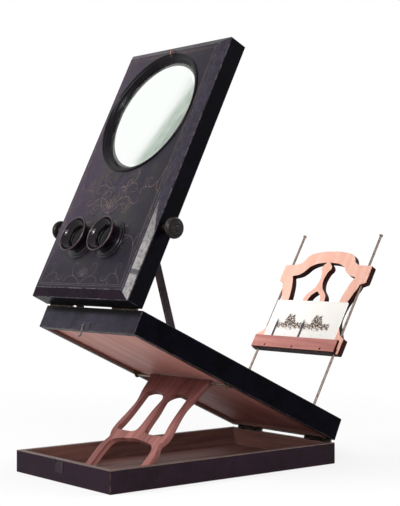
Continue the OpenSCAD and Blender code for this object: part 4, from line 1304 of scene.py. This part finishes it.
def floor_material(name, pale):
    """Matt paper sweep: the camera sees it nearly white, with the object's soft shadow"""
    material, tree = new_material(name)
    # The shadow shows near the object, and the sweep turns quite white 1.4 m out
    coordinates = add_node(tree, "ShaderNodeTexCoord", output="Object")
    away = add_node(tree, "ShaderNodeVectorMath", {0: coordinates}, operation="LENGTH")
    levels = {"Value": away, "From Min": 0.3, "From Max": 1.4, "To Min": 0.72, "To Max": 1.0}
    whiteness = add_node(tree, "ShaderNodeMapRange", levels, interpolation_type="SMOOTHSTEP")
    share = add_node(tree, "ShaderNodeMath", {0: seen_directly(tree), 1: whiteness}, operation="MULTIPLY")
    # Paper fibres are drawn 2 mm long
    fibre = add_node(tree, "ShaderNodeTexNoise", {
        "Vector": spread(tree, GROUND, 2), "Scale": 1.0, "Detail": 3.0
    })
    bump = add_node(tree, "ShaderNodeBump", {"Height": fibre, "Distance": 0.00002})
    matt = add_node(tree, "ShaderNodeBsdfDiffuse", {"Color": pale, "Normal": bump})
    glow = add_node(tree, "ShaderNodeEmission", {"Color": (1, 1, 1, 1), "Strength": 1.0})
    both = add_node(tree, "ShaderNodeMixShader", {0: share, 1: matt, 2: glow})
    add_node(tree, "ShaderNodeOutputMaterial", {"Surface": both})
    return material


PIECES = (
    STEREOSCOPE_OT_base,
    STEREOSCOPE_OT_table,
    STEREOSCOPE_OT_panel,
    STEREOSCOPE_OT_tracery,
    STEREOSCOPE_OT_large_lens,
    STEREOSCOPE_OT_eyepieces,
    STEREOSCOPE_OT_focus_gear,
    STEREOSCOPE_OT_holder,
    STEREOSCOPE_OT_card,
    STEREOSCOPE_OT_rods,
    STEREOSCOPE_OT_prop,
    STEREOSCOPE_OT_stays,
    STEREOSCOPE_OT_hinges,
    STEREOSCOPE_OT_latch,
    STEREOSCOPE_OT_stage,
)


class STEREOSCOPE_PT_panel(bpy.types.Panel):
    """Lists the stereoscope's pieces, sizes and colours"""

    bl_idname = "STEREOSCOPE_PT_panel"
    bl_label = "Stereoscope"
    bl_space_type = "VIEW_3D"
    bl_region_type = "UI"
    bl_category = "Stereoscope"

    def draw(self, context):
        for piece in PIECES:
            self.layout.operator(piece.bl_idname)
        for group in (context.scene.stereoscope_sizes, context.scene.stereoscope_colours):
            box = self.layout.box()
            for name in group.__annotations__:
                box.prop(group, name)


def register():
    for group in (StereoscopeColours, StereoscopeSizes, *PIECES, STEREOSCOPE_PT_panel):
        bpy.utils.register_class(group)
    bpy.types.Scene.stereoscope_colours = bpy.props.PointerProperty(type=StereoscopeColours)
    bpy.types.Scene.stereoscope_sizes = bpy.props.PointerProperty(type=StereoscopeSizes)


def unregister():
    del bpy.types.Scene.stereoscope_sizes
    del bpy.types.Scene.stereoscope_colours
    for group in (STEREOSCOPE_PT_panel, *reversed(PIECES), StereoscopeSizes, StereoscopeColours):
        bpy.utils.unregister_class(group)


def main():
    """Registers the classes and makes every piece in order"""
    register()
    for piece in PIECES:
        name = piece.bl_idname.split(".")[1]
        getattr(bpy.ops.stereoscope, name)()
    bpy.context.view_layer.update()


if __name__ == "__main__":
    main()
